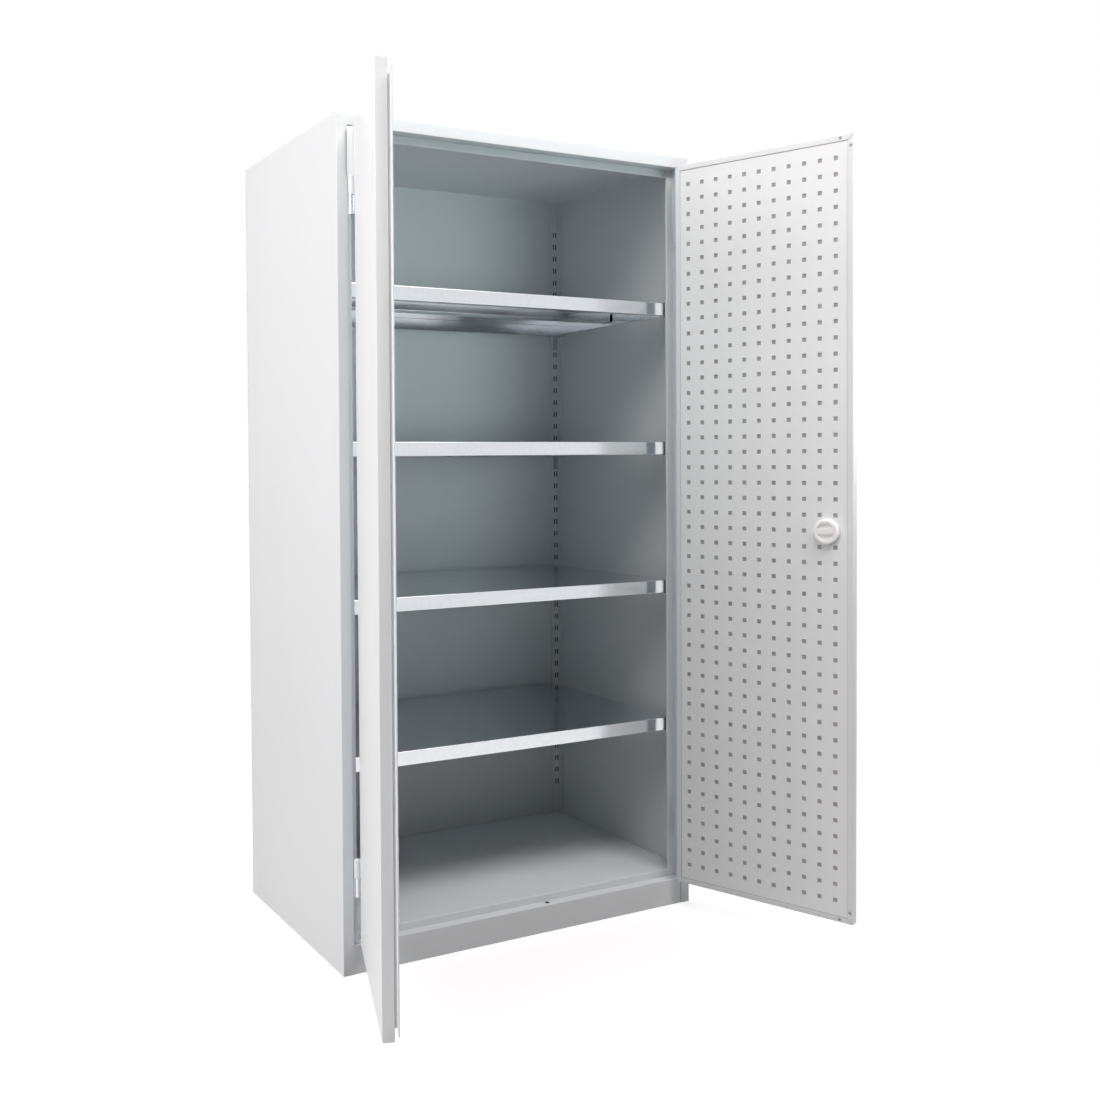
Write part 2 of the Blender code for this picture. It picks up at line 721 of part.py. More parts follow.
handle_spot = (handle_x, door_middle)
rod_spot = (handle_x, rod_depth)
spindle_hole = bar(SPINDLE_RADIUS + RUNNING_GAP, handle_spot, "y", -BEYOND, SHEET + BEYOND / 4)
rod_holes = [bar(ROD_RADIUS + RUNNING_GAP, rod_spot, "z", z - BEYOND, z + BEYOND) for z in (door_low, door_high)]
piece("left_door_pan", door_pan([]), door_paint, left_door, left_axis, -1)
piece("right_door_pan", door_pan([spindle_hole, *rod_holes]), door_paint, right_door, right_axis)
knob_hole = bar(SPINDLE_RADIUS + RUNNING_GAP, handle_spot, "y", panel_low - BEYOND / 4, panel_high + BEYOND)
piece("left_door_panel", door_panel(), panel_paint, left_door, left_axis, -1)
piece("right_door_panel", cut(tool_panel(), knob_hole), panel_paint, right_door, right_axis)
piece("left_door_stiffener", door_rib(), zinc, left_door, left_axis, -1)
piece("right_door_stiffener", door_rib(), zinc, right_door, right_axis)
piece("left_stop_strip", stop_strip(), door_paint, left_door, left_axis, -1)


# Rosette that stays with the right door
neck_bore = NECK_RADIUS + RUNNING_GAP
rosette_low = -SEAT - ROSETTE_THICKNESS
rosette = turned([(ROSETTE_RADIUS, rosette_low), (ROSETTE_RADIUS, -SEAT), (neck_bore, -SEAT),
                  (neck_bore, rosette_low)], handle_spot, "y", closed=True)
piece("handle_rosette", rosette, dark_plastic, right_door, right_axis)


# Handle, spindle with cam, and inner knob
def outer_handle():
    """Round outer handle with a cross grip and a neck in the rosette."""
    disc_high = rosette_low - SEAT
    disc_low = disc_high - HANDLE_DISC
    grip_low = disc_low - GRIP_HEIGHT
    body = turned([(NECK_RADIUS, -SEAT * 2), (NECK_RADIUS, disc_high), (HANDLE_RADIUS, disc_high),
                   (HANDLE_RADIUS, disc_low)], handle_spot, "y")
    reach = HANDLE_RADIUS - GRIP_END_GAP
    grip = block((handle_x - reach, grip_low, door_middle - GRIP_WIDTH / 2),
                 (handle_x + reach, disc_low + HANDLE_DISC / 2, door_middle + GRIP_WIDTH / 2))
    return join(body, grip), grip_low


def lock_cylinder(face):
    """Face of the key cylinder on the grip, with its keyway."""
    high = face - SEAT
    low = high - CYLINDER_FACE
    keyway = block((handle_x - KEYWAY_WIDTH / 2, low - BEYOND, door_middle - KEYWAY_LENGTH / 2),
                   (handle_x + KEYWAY_WIDTH / 2, low + KEYWAY_DEPTH, door_middle + KEYWAY_LENGTH / 2))
    return cut(bar(CYLINDER_RADIUS, handle_spot, "y", low, high), keyway)


def spindle_cam():
    """Spindle with its cam, whose two pins drive the rods apart."""
    profile = [(SPINDLE_RADIUS, -SEAT), (SPINDLE_RADIUS, cam_low), (CAM_RADIUS, cam_low), (CAM_RADIUS, cam_high),
               (SPINDLE_RADIUS, cam_high), (SPINDLE_RADIUS, panel_high)]
    mesh = turned(profile, handle_spot, "y")
    offset = CAM_PIN_OFFSET * math.sqrt(0.5)
    for sign in (1, -1):
        pin_spot = (handle_x + sign * offset, door_middle - sign * offset)
        mesh = join(mesh, bar(CAM_PIN_RADIUS, pin_spot, "y", cam_high - CAM_THICKNESS / 2, tab_high + TAB_GAP / 2))
    return mesh


def inner_knob():
    """White knob inside the door: a ring round a recess crossed by a grip bar."""
    low = panel_high + SEAT
    high = low + KNOB_HEIGHT
    body = turned([(KNOB_RADIUS, low), (KNOB_RADIUS, high - KNOB_EDGE), (KNOB_RADIUS - KNOB_EDGE, high)],
                  handle_spot, "y")
    pockets = []
    start = math.asin(KNOB_BAR / 2 / KNOB_RECESS_RADIUS)
    steps = ROUND_SIDES // 2
    for sign in (1, -1):
        ring = []
        for i in range(steps + 1):
            angle = start + (math.pi - 2 * start) * i / steps
            u = handle_x + KNOB_RECESS_RADIUS * math.cos(angle)
            ring.append((u, door_middle + sign * KNOB_RECESS_RADIUS * math.sin(angle)))
        pockets.append(skin([[(u, along, v) for u, v in ring] for along in (low + KNOB_FLOOR, high + BEYOND)]))
    return cut(body, *pockets)


handle_mesh, grip_face = outer_handle()
piece("outer_handle", handle_mesh, dark_plastic, handle, handle_axis)
piece("lock_cylinder", lock_cylinder(grip_face), steel, handle, handle_axis)
piece("spindle_cam", spindle_cam(), steel, handle, handle_axis)
piece("inner_knob", inner_knob(), white_plastic, handle, handle_axis)


# Lock rods: round rods with a forked tab that a cam pin moves
def lock_rod(end, sign):
    """Rod from its tab to a tip just inside the door's edge; sign is +1 upwards and -1 downwards."""
    offset = CAM_PIN_OFFSET * math.sqrt(0.5)
    slot = CAM_PIN_RADIUS + CAM_PIN_PLAY
    near = SPINDLE_RADIUS + RUNNING_GAP * 2
    far = CAM_PIN_OFFSET + slot
    u_lines = [-SPINDLE_RADIUS, near, far, far + TAB_WALL]
    v_lines = [-offset - slot - TAB_WALL, -offset - slot, -offset + slot, ROD_START - ROD_RADIUS * 2,
               ROD_START - ROD_RADIUS * 2 + TAB_HEAD]
    u_lines = [handle_x + sign * u for u in u_lines]
    v_lines = [door_middle + sign * v for v in v_lines]
    tab = cells(u_lines, v_lines, lambda i, j: (i == 0 and j < 3) or (i == 1 and j == 1), "y", tab_low, tab_high)
    ends = sorted((door_middle + sign * ROD_START, end - sign * ROD_TIP_GAP))
    return join(bar(ROD_RADIUS, rod_spot, "z", *ends), tab)


piece("upper_lock_rod", lock_rod(door_high, 1), steel, right_door, right_axis)
piece("lower_lock_rod", lock_rod(door_low, -1), steel, right_door, right_axis)
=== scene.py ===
"""Looks of the two-door steel workshop cabinet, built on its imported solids. Metres, in the frame of the solids.

Meshes are drawn with depth from the carcass' front plane, doors closed, and then put where the solids stand.
"""
import math

import bmesh
import bpy
from mathutils import Matrix, Vector


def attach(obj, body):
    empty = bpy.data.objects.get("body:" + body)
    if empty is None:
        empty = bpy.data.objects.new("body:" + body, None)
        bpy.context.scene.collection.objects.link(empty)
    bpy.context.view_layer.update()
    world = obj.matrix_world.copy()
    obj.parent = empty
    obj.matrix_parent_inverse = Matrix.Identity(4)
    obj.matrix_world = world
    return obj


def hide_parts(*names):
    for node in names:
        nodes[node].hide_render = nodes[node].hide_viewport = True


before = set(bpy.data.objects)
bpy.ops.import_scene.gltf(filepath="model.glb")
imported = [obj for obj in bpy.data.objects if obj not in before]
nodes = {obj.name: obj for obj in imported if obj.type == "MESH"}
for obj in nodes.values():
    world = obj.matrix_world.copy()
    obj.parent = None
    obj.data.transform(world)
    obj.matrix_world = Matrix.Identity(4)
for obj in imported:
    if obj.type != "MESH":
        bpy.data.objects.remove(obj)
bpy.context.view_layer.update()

# Sizes of the solids: a sheet's thickness, and the gap between joined sheets
SHEET = 0.001
SEAT = 0.0003

# Carcass
HALF = 0.500
HEIGHT = 1.950
FRONT = -0.01335
OPENING = 0.472
JAMB = 0.027
LIP = 0.020
LIP_RETURN = 0.006
BETWEEN_LIPS = OPENING - LIP - SEAT
WALL = 0.4987
BACK_FACE = 0.5987
REAR_END = 0.5974
REAR_FLANGE = 0.020
FASCIA_LOW = 1.922
TOP_TURN = 0.020
RAIL_LOW = 1.9017
RAIL_FLANGE = 0.018
PLINTH = 0.067
PLINTH_TURN = 0.012
FLOOR_TOP = 0.084
FLOOR_TURN = 0.025

# Uprights
UPRIGHT_SHEET = 0.0015
UPRIGHT_FACE = 0.027
UPRIGHT_SIDE = 0.025
FRONT_CORNER = JAMB + SHEET + SEAT
SLOT_START = 0.1785
SLOT_PITCH = 0.0364
SLOT_ROWS = 47
SLOT_LENGTH = 0.015
SLOT_COLUMNS = (WALL - 0.006, WALL - 0.014)

# Shelves and the ribs under them, shelves counted from the top
SHELF_SIDE = 0.470
SHELF_FRONT = 0.036
SHELF_REAR = 0.5911
SHELF_MIDDLE = (SHELF_FRONT + SHELF_REAR) / 2
SHELF_LOWS = {1: 1.5438, 2: 1.1798, 3: 0.8158, 4: 0.4518}
SHELF_FLANGE = 0.034
SHELF_LIP = 0.012
SHELF_CORNER = 0.025
SHELF_RIB_DEPTH = 0.020
SHELF_RIB_GAP = 0.0045
SHELF_RIB_WIDTH = 0.050
RIB_FLANGE = 0.015

# Doors with their inner panels, open at rest as in the photo
FREE_EDGE = 0.002
HINGE_EDGE = 0.460
DOOR_LOW = 0.070
DOOR_HIGH = 1.919
DOOR_MIDDLE = (DOOR_LOW + DOOR_HIGH) / 2
DOOR_THICKNESS = 0.025
DOOR_FLANGE = 0.013
PANEL_INSET = 0.005
PANEL_HIGH = DOOR_THICKNESS - SHEET - SEAT
PANEL_LOW = PANEL_HIGH - SHEET
LEFT_OPEN = 110.0
RIGHT_OPEN = 111.5
TOOL_HOLE = 0.010
TOOL_PITCH = 0.038
TOOL_COLUMNS = 11
TOOL_ROWS = 47
TOOL_START = 0.044

# Hinges
AXIS_X = 0.466
AXIS_FORWARD = 0.006
AXIS_SPOT = (AXIS_X, -AXIS_FORWARD)
HINGE_INSET = 0.153
HINGE_HEIGHTS = (DOOR_LOW + HINGE_INSET, DOOR_HIGH - HINGE_INSET)
KNUCKLE = 0.044
LEAF = 0.002
LEAF_INSET = 0.003
LEAF_SHORT = 0.001

# Lock
HANDLE_X = 0.063
HANDLE_SPOT = (HANDLE_X, DOOR_MIDDLE)
ROD_DEPTH = 0.0169
BOLT_SPOT = (HANDLE_X, ROD_DEPTH)
BOLT_HOLE = 0.006
SPINDLE_BORE = 0.0054
ROD_BORE = 0.0044
ROSETTE = 0.005

# Roundings of the looks, with angles in degrees
FOLD = 0.0020
DOOR_FOLD = 0.0018
STRIP_FOLD = 0.0016
LEAF_EDGE = 0.0004
CLIP_EDGE = 0.0003
KNOB_EDGE = 0.0007
FOLD_STEPS = 5
CORNER_STEPS = 16
EDGE_STEPS = 8
ROUND = 64
SHARP = 32
SOFTENED = 40

# Small details of the looks: painted-over fillings of joints, and near-black and grey fillings and sheets that are
# painted shade in slots, holes and gaps, with the play round a filling.
# The slots are wider than in the solids, to look as dark as in the photo.
FIT = 0.00002
SLOT_WIDTH = 0.0040
SLOT_SINK = 0.0003
SLOT_PROUD = 0.0001
SEAM = 0.0025
SEAM_START = 284
LOWER_BOLT_HOLE = 0.0065
# Near-black cup under the plinth's bolt hole: painted shade that darkens the hole
HOLE_SHADE_BORE = 0.0070
HOLE_SHADE_RADIUS = 0.0075
HOLE_SHADE_DEPTH = 0.020
END_JOINT = 0.0005
# Near-black strip in the plinth's right joint: painted shade in the joint's gap
END_REACH = 0.00065
END_SINK = 0.0003
CORNER_HOLE = 0.0038
CORNER_HOLES = ((0.031, 0.0065), (0.0065, 0.027))
MITRE = 0.0012
# Grey painted shade under a door's flange: the strips' widths in the joint round the panel, wider at the top where
# the flange shades the panel from the light above, and how deep they lie
JOINT_SHADE = 0.0010
TOP_JOINT_SHADE = 0.0018
UNDER_FLANGE = (PANEL_HIGH + 0.0001, PANEL_HIGH + 0.0002)
# Thickness and depth of the grey sheets of painted shade behind the tool holes; the thickness also serves the
# plinth's near-black joint strip
SHADE_SHEET = 0.0002
SHADE_SHEET_HIGH = 0.0218

# How far a tool reaches past what it cuts
BEYOND = 0.010

CARCASS = Matrix.Translation((0, FRONT, 0))
MIRROR = Matrix.Scale(-1, 4, Vector((1, 0, 0)))
SIDES = ((CARCASS @ MIRROR, "left"), (CARCASS, "right"))


def on_hinge(sign, degrees):
    """Where a door that is drawn closed stands at rest."""
    axis = Vector((sign * AXIS_X, -AXIS_FORWARD, 0))
    turn = Matrix.Rotation(math.radians(degrees), 4, "Z")
    return CARCASS @ Matrix.Translation(axis) @ turn @ Matrix.Translation(-axis)


RIGHT = on_hinge(1, RIGHT_OPEN)
LEFT = on_hinge(-1, -LEFT_OPEN) @ MIRROR


# Materials
COAT_SHINE = 0.25
MILKY_DEPTH = 0.012


class Finish:
    """A Principled material and the texture nodes that feed it, in metres on the object."""

    def __init__(self, name, roughness, metallic=0.0):
        self.material = bpy.data.materials.new(name)
        self.material.use_nodes = True
        self.tree = self.material.node_tree
        self.shader = self.tree.nodes["Principled BSDF"]
        self.shader.inputs["Roughness"].default_value = roughness
        self.shader.inputs["Metallic"].default_value = metallic
        self.place = self.tree.nodes.new("ShaderNodeTexCoord").outputs["Object"]

    def link(self, one, two):
        self.tree.links.new(one, two)

    def stretched(self, scale):
        """The place, drawn out differently along each axis."""
        node = self.tree.nodes.new("ShaderNodeMapping")
        node.inputs["Scale"].default_value = scale
        self.link(self.place, node.inputs["Vector"])
        return node.outputs["Vector"]

    def noise(self, scale, detail=2.0, place=None):
        node = self.tree.nodes.new("ShaderNodeTexNoise")
        node.inputs["Scale"].default_value = scale
        node.inputs["Detail"].default_value = detail
        self.link(place or self.place, node.inputs["Vector"])
        return node.outputs["Fac"]

    def spangle(self, scale):
        """Irregular crystal patches with one random value each."""
        node = self.tree.nodes.new("ShaderNodeTexVoronoi")
        node.inputs["Scale"].default_value = scale
        self.link(self.place, node.inputs["Vector"])
        grey = self.tree.nodes.new("ShaderNodeRGBToBW")
        self.link(node.outputs["Color"], grey.inputs["Color"])
        return grey.outputs["Val"]

    def spread(self, value, low, high, start=0.3, end=0.7):
        """A pattern's middle range, spread over new limits."""
        node = self.tree.nodes.new("ShaderNodeMapRange")
        self.link(value, node.inputs["Value"])
        for socket, number in (("From Min", start), ("From Max", end), ("To Min", low), ("To Max", high)):
            node.inputs[socket].default_value = number
        return node.outputs["Result"]

    def tint(self, value, dark, light, start=0.3, end=0.7):
        """Colour between two tones, by a pattern."""
        ramp = self.tree.nodes.new("ShaderNodeValToRGB")
        ramp.color_ramp.elements[0].position = start
        ramp.color_ramp.elements[1].position = end
        ramp.color_ramp.elements[0].color = (*dark, 1)
        ramp.color_ramp.elements[1].color = (*light, 1)
        self.link(value, ramp.inputs["Fac"])
        return ramp.outputs["Color"]

    def mix(self, fac, one, two):
        node = self.tree.nodes.new("ShaderNodeMix")
        node.data_type = "RGBA"
        sockets = {socket.identifier: socket for socket in (*node.inputs, *node.outputs)}
        self.link(fac, sockets["Factor_Float"])
        self.link(one, sockets["A_Color"])
        self.link(two, sockets["B_Color"])
        return sockets["Result_Color"]

    def colour(self, value):
        self.link(value, self.shader.inputs["Base Color"])

    def roughness(self, value):
        self.link(value, self.shader.inputs["Roughness"])

    def bump(self, height, strength, distance):
        node = self.tree.nodes.new("ShaderNodeBump")
        node.inputs["Strength"].default_value = strength
        node.inputs["Distance"].default_value = distance
        self.link(height, node.inputs["Height"])
        self.link(node.outputs["Normal"], self.shader.inputs["Normal"])


def shade(colour, factor):
    return tuple(min(1.0, channel * factor) for channel in colour)


def powder_coat(name, colour, roughness, speckle=0.02, peel=0.16):
    """Powder coat: fine orange peel, faint specks and slow changes of tone and gloss."""
    darkest, lightest = 0.985, 1.01
    made = Finish(name, roughness)
    made.shader.inputs["Specular IOR Level"].default_value = COAT_SHINE
    slow = made.noise(scale=1.7, detail=3.0)
    fine = made.noise(scale=1500.0)
    light = made.tint(slow, shade(colour, darkest), shade(colour, lightest))
    dark = made.tint(slow, shade(colour, darkest - speckle), shade(colour, lightest - speckle))
    made.colour(made.mix(made.spread(fine, 0.0, 1.0, start=0.40, end=0.66), light, dark))
    made.roughness(made.spread(made.noise(scale=6.0, detail=4.0), roughness - 0.05, roughness + 0.05))
    made.bump(made.noise(scale=620.0, detail=3.0), strength=peel, distance=0.0004)
    return made.material


def galvanised(name, colour, roughness):
    """Zinc-coated sheet: faint spangle, rolling streaks and uneven gloss."""
    made = Finish(name, roughness, metallic=1.0)
    patches = made.spangle(scale=160.0)
    streaks = made.noise(scale=1.0, detail=4.0, place=made.stretched((2.0, 160.0, 160.0)))
    bright = made.tint(patches, shade(colour, 0.985), shade(colour, 1.015), start=0.2, end=0.8)
    dull = made.tint(patches, shade(colour, 0.955), shade(colour, 0.985), start=0.2, end=0.8)
    made.colour(made.mix(made.spread(streaks, 0.0, 1.0), bright, dull))
    made.roughness(made.spread(made.noise(scale=8.0, detail=3.0), roughness - 0.03, roughness + 0.04))
    made.bump(streaks, strength=0.02, distance=0.0002)
    return made.material


def drawn_steel(name, colour, roughness):
    """Bright drawn or turned steel with fine lines."""
    made = Finish(name, roughness, metallic=1.0)
    lines = made.noise(scale=1.0, detail=5.0, place=made.stretched((900.0, 900.0, 20.0)))
    made.colour(made.tint(lines, shade(colour, 0.88), shade(colour, 1.05)))
    made.roughness(made.spread(lines, roughness - 0.06, roughness + 0.08))
    made.bump(lines, strength=0.06, distance=0.0002)
    return made.material


def plastic(name, colour, roughness, grain, milky=0.0):
    """Moulded plastic with a fine grain, some of it milky: light spreads a few millimetres inside it."""
    made = Finish(name, roughness)
    made.shader.inputs["Subsurface Weight"].default_value = milky
    made.shader.inputs["Subsurface Radius"].default_value = (1.0, 1.0, 1.0)
    made.shader.inputs["Subsurface Scale"].default_value = MILKY_DEPTH
    made.colour(made.tint(made.noise(scale=40.0, detail=4.0), shade(colour, 0.95), shade(colour, 1.03)))
    made.roughness(made.spread(made.noise(scale=90.0, detail=3.0), roughness - 0.04, roughness + 0.06))
    made.bump(made.noise(scale=1100.0), strength=grain, distance=0.0003)
    return made.material


grey_paint = powder_coat("grey_powder_coat", (0.664, 0.706, 0.724), roughness=0.45)
door_paint = powder_coat("door_powder_coat", (0.708, 0.748, 0.764), roughness=0.42)
panel_paint = powder_coat("panel_powder_coat", (0.792, 0.831, 0.837), roughness=0.50, speckle=0.045, peel=0.22)
zinc = galvanised("galvanised_sheet", (0.72, 0.75, 0.78), roughness=0.14)
zinc_plate = galvanised("zinc_plated", (0.68, 0.71, 0.74), roughness=0.24)
steel = drawn_steel("drawn_steel", (0.60, 0.605, 0.615), roughness=0.26)
white_plastic = plastic("white_moulded", (0.885, 0.893, 0.895), roughness=0.50, grain=0.10, milky=1.0)
dark_plastic = plastic("dark_moulded", (0.030, 0.031, 0.034), roughness=0.42, grain=0.22)
# Painted shade: near-black and grey finishes, made like moulded plastic, for slots, hole bottoms, joints and the
# space behind the tool holes
painted_shade_black = plastic("recess_shadow", (0.030, 0.032, 0.034), roughness=0.80, grain=0.20)
painted_shade_grey = plastic("painted_shade_lining", (0.385, 0.385, 0.382), roughness=0.70, grain=0.20)


# Mesh helpers
def spot(axis, u, v, along):
    """Puts two cross-section coordinates and a place along an axis into x, y, z order."""
    if axis == "x":
        return (along, u, v)
    if axis == "y":
        return (u, along, v)
    return (u, v, along)


def skin(rings, closed=False):
    """Joins equal rings of points into one closed mesh, capped at both ends or closed on itself."""
    mesh = bmesh.new()
    rows = [[mesh.verts.new(point) for point in ring] for ring in rings]
    pairs = list(zip(rows, rows[1:]))
    if closed:
        pairs.append((rows[-1], rows[0]))
    else:
        mesh.faces.new(rows[0])
        mesh.faces.new(rows[-1])
    count = len(rows[0])
    for one, two in pairs:
        for i in range(count):
            j = (i + 1) % count
            mesh.faces.new((one[i], one[j], two[j], two[i]))
    return mesh


def block(low, high, edge=0.0):
    """A box between two corners, with its edges rounded if asked."""
    corners = [(low[0], low[1]), (high[0], low[1]), (high[0], high[1]), (low[0], high[1])]
    mesh = skin([[(x, y, z) for x, y in corners] for z in (low[2], high[2])])
    if edge:
        bmesh.ops.bevel(mesh, geom=mesh.edges[:], offset=edge, segments=4, profile=0.5, affect="EDGES")
    return mesh


def turned(profile, centre, axis, closed=False):
    """Turns (radius, along) pairs about an axis through a centre in the cross-section."""
    rings = []
    for radius, along in profile:
        ring = []
        for i in range(ROUND):
            angle = 2 * math.pi * i / ROUND
            u = centre[0] + radius * math.cos(angle)
            v = centre[1] + radius * math.sin(angle)
            ring.append(spot(axis, u, v, along))
        rings.append(ring)
    return skin(rings, closed)


def bar(radius, centre, axis, low, high):
    """A round bar."""
    return turned([(radius, low), (radius, high)], centre, axis)


def arc(centre, radius, start, end, steps):
    """Points on an arc, angles in degrees."""
    angles = [math.radians(start + (end - start) * i / steps) for i in range(steps + 1)]
    return [(centre[0] + radius * math.cos(a), centre[1] + radius * math.sin(a)) for a in angles]


def fold_lines(path, sheet, radius):
    """Face and back lines of a folded sheet with rounded bends.

    The thickness lies left of the path if it is positive.
    """
    points = [Vector(point) for point in path]
    ways = [(two - one).normalized() for one, two in zip(points, points[1:])]
    normals = [Vector((-way.y, way.x)) for way in ways]
    face, back = [points[0]], [points[0] + sheet * normals[0]]
    for corner, way, after, normal in zip(points[1:-1], ways, ways[1:], normals):
        turn = math.atan2(way.x * after.y - way.y * after.x, way.dot(after))
        side = 1 if turn > 0 else -1
        outside = turn * sheet > 0
        face_radius = radius if outside else radius - abs(sheet)
        back_radius = radius - abs(sheet) if outside else radius
        centre = corner - face_radius * math.tan(abs(turn) / 2) * way + side * face_radius * normal
        for i in range(FOLD_STEPS + 1):
            angle = turn * i / FOLD_STEPS
            out = Matrix.Rotation(angle, 2) @ (-side * normal)
            face.append(centre + face_radius * out)
            back.append(centre + back_radius * out)
    face.append(points[-1])
    back.append(points[-1] + sheet * normals[-1])
    return face, back


def folded(path, sheet, axis, low, high, radius=FOLD):
    """Extrudes a folded sheet with rounded bends."""
    mesh = bmesh.new()
    lines = fold_lines(path, sheet, radius)
    (face_low, back_low), (face_high, back_high) = (
        [[mesh.verts.new(spot(axis, p.x, p.y, along)) for p in line] for line in lines] for along in (low, high))
    for i in range(len(face_low) - 1):
        mesh.faces.new((face_low[i], face_low[i + 1], face_high[i + 1], face_high[i]))
        mesh.faces.new((back_low[i], back_low[i + 1], back_high[i + 1], back_high[i]))
        mesh.faces.new((face_low[i], face_low[i + 1], back_low[i + 1], back_low[i]))
        mesh.faces.new((face_high[i], face_high[i + 1], back_high[i + 1], back_high[i]))
    for i in (0, len(face_low) - 1):
        mesh.faces.new((face_low[i], face_high[i], back_high[i], back_low[i]))
    return mesh


def rectangle(u_low, u_high, v_low, v_high):
    """A rectangle that can be drawn inset."""
    def outline(inset):
        a, b = u_low + inset, u_high - inset
        c, d = v_low + inset, v_high - inset
        return [(a, c), (b, c), (b, d), (a, d)]
    return outline


def rounded_front(side, front, rear, radius):
    """A shelf outline with both front corners rounded, that can be drawn inset."""
    def outline(inset):
        points = [(side - inset, rear - inset), (inset - side, rear - inset)]
        left = arc((radius - side, front + radius), radius - inset, 180, 270, CORNER_STEPS)
        return points + left + [(-u, v) for u, v in reversed(left)]
    return outline


def pan(outline, axis, shut, mouth, lip, radius, heart=0.020):
    """A pan closed at one end, with rounded folds and its walls turned in to a lip at the mouth.

    The closed end is one face inside a band that is as wide as heart.
    """
    sheet = -SHEET if mouth > shut else SHEET
    face, back = fold_lines([(heart, shut), (0, shut), (0, mouth), (lip, mouth)], sheet, radius)
    line = face + back[::-1]
    return skin([[spot(axis, u, v, p.y) for u, v in outline(p.x)] for p in line])


def cells(u_lines, v_lines, is_open, axis, low, high):
    """A sheet on a grid of lines, left open in some cells."""
    mesh = bmesh.new()
    known = {}

    def corner(i, j, along):
        if (i, j, along) not in known:
            known[i, j, along] = mesh.verts.new(spot(axis, u_lines[i], v_lines[j], along))
        return known[i, j, along]

    columns, rows = len(u_lines) - 1, len(v_lines) - 1

    def solid(i, j):
        return 0 <= i < columns and 0 <= j < rows and not is_open(i, j)

    for i in range(columns):
        for j in range(rows):
            if not solid(i, j):
                continue
            for along in (low, high):
                mesh.faces.new((corner(i, j, along), corner(i + 1, j, along),
                                corner(i + 1, j + 1, along), corner(i, j + 1, along)))
            sides = (((i - 1, j), (i, j), (i, j + 1)), ((i + 1, j), (i + 1, j), (i + 1, j + 1)),
                     ((i, j - 1), (i, j), (i + 1, j)), ((i, j + 1), (i, j + 1), (i + 1, j + 1)))
            for beside, one, two in sides:
                if not solid(*beside):
                    mesh.faces.new((corner(*one, low), corner(*two, low), corner(*two, high), corner(*one, high)))
    return mesh


def outward(mesh):
    """Turns the faces of each separate solid outwards."""
    bmesh.ops.recalc_face_normals(mesh, faces=mesh.faces[:])
    seen = set()
    for first in mesh.faces:
        if first in seen:
            continue
        seen.add(first)
        solid = [first]
        for face in solid:
            for edge in face.edges:
                fresh = [other for other in edge.link_faces if other not in seen]
                seen.update(fresh)
                solid.extend(fresh)
        volume = 0.0
        for face in solid:
            a, *others = [vertex.co for vertex in face.verts]
            volume += sum(a.dot(b.cross(c)) for b, c in zip(others, others[1:]))
        if volume < 0:
            bmesh.ops.reverse_faces(mesh, faces=solid)
    return mesh


def combine(base, tool, operation):
    """Joins two closed meshes, or cuts the second from the first."""
    pair = []
    for mesh in (base, tool):
        data = bpy.data.meshes.new("working_mesh")
        outward(mesh).to_mesh(data)
        mesh.free()
        item = bpy.data.objects.new("working_piece", data)
        bpy.context.scene.collection.objects.link(item)
        pair.append(item)
    modifier = pair[0].modifiers.new("boolean", "BOOLEAN")
    modifier.operation = operation
    modifier.solver = "EXACT"
    modifier.object = pair[1]
    result = bmesh.new()
    result.from_object(pair[0], bpy.context.evaluated_depsgraph_get())
    for item in pair:
        data = item.data
        bpy.data.objects.remove(item, do_unlink=True)
        bpy.data.meshes.remove(data)
    return result


def join(*meshes):
    """Joins overlapping closed meshes into one solid."""
    result = meshes[0]
    for mesh in meshes[1:]:
        result = combine(result, mesh, "UNION")
    return result


def cut(mesh, *tools):
    """Cuts closed meshes out of a solid."""
    for tool in tools:
        mesh = combine(mesh, tool, "DIFFERENCE")
    return mesh


def add(whole, mesh):
    """Moves a mesh into another one."""
    data = bpy.data.meshes.new("working_mesh")
    mesh.to_mesh(data)
    mesh.free()
    whole.from_mesh(data)
    bpy.data.meshes.remove(data)


def group(*meshes):
    """Keeps separate solids together in one mesh."""
    result = bmesh.new()
    for mesh in meshes:
        add(result, outward(mesh))
    return result


def piece(name, mesh, material, body, place, stands_for=(), edge=0.0, second=None):
    """Names a finished mesh, puts it in place and lets it ride on a body.

    A second mesh with its own material goes into the same piece.
    """
    solids = [(mesh, material)] + ([second] if second else [])
    whole = bmesh.new()
    for index, (part, _) in enumerate(solids):
        part.transform(place)
        outward(part)
        for face in part.faces:
            face.material_index = index
            face.smooth = True
        add(whole, part)
    data = bpy.data.meshes.new(name)
    whole.to_mesh(data)
    whole.free()
    for _, finish in solids:
        data.materials.append(finish)
    data.set_sharp_from_angle(angle=math.radians(SHARP))
    item = bpy.data.objects.new(name, data)
    bpy.context.scene.collection.objects.link(item)
    if edge:
        soften(item, edge)
    item.modifiers.new("weighted_normals", "WEIGHTED_NORMAL").keep_sharp = True
    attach(item, body)
    if stands_for:
        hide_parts(*stands_for)


def soften(item, edge):
    """Rounds the sharp edges of a piece a little."""
    modifier = item.modifiers.new("soft_edges", "BEVEL")
    modifier.width = edge
    modifier.segments = 2
    modifier.limit_method = "ANGLE"
    modifier.angle_limit = math.radians(SOFTENED)
    modifier.harden_normals = True


def dress(name, material, edge=0.0):
    """Gives a solid that stays its finish."""
    item = nodes[name]
    for place in item.material_slots:
        place.material = material
    if not item.material_slots:
        item.data.materials.append(material)
    if edge:
        soften(item, edge)


# Carcass sheets
def side_panel():
    """The right side sheet, notched at the top for the fascia."""
    path = [(HALF - REAR_FLANGE, BACK_FACE), (HALF, BACK_FACE), (HALF, 0), (OPENING, 0), (OPENING, JAMB),
            (OPENING - LIP, JAMB), (OPENING - LIP, JAMB + LIP_RETURN)]
    top_notch = block((OPENING - LIP - BEYOND, -BEYOND, FASCIA_LOW - SEAT),
                      (WALL, JAMB + LIP_RETURN + BEYOND, HEIGHT + BEYOND))
    return cut(folded(path, -SHEET, "z", 0, HEIGHT), top_notch)


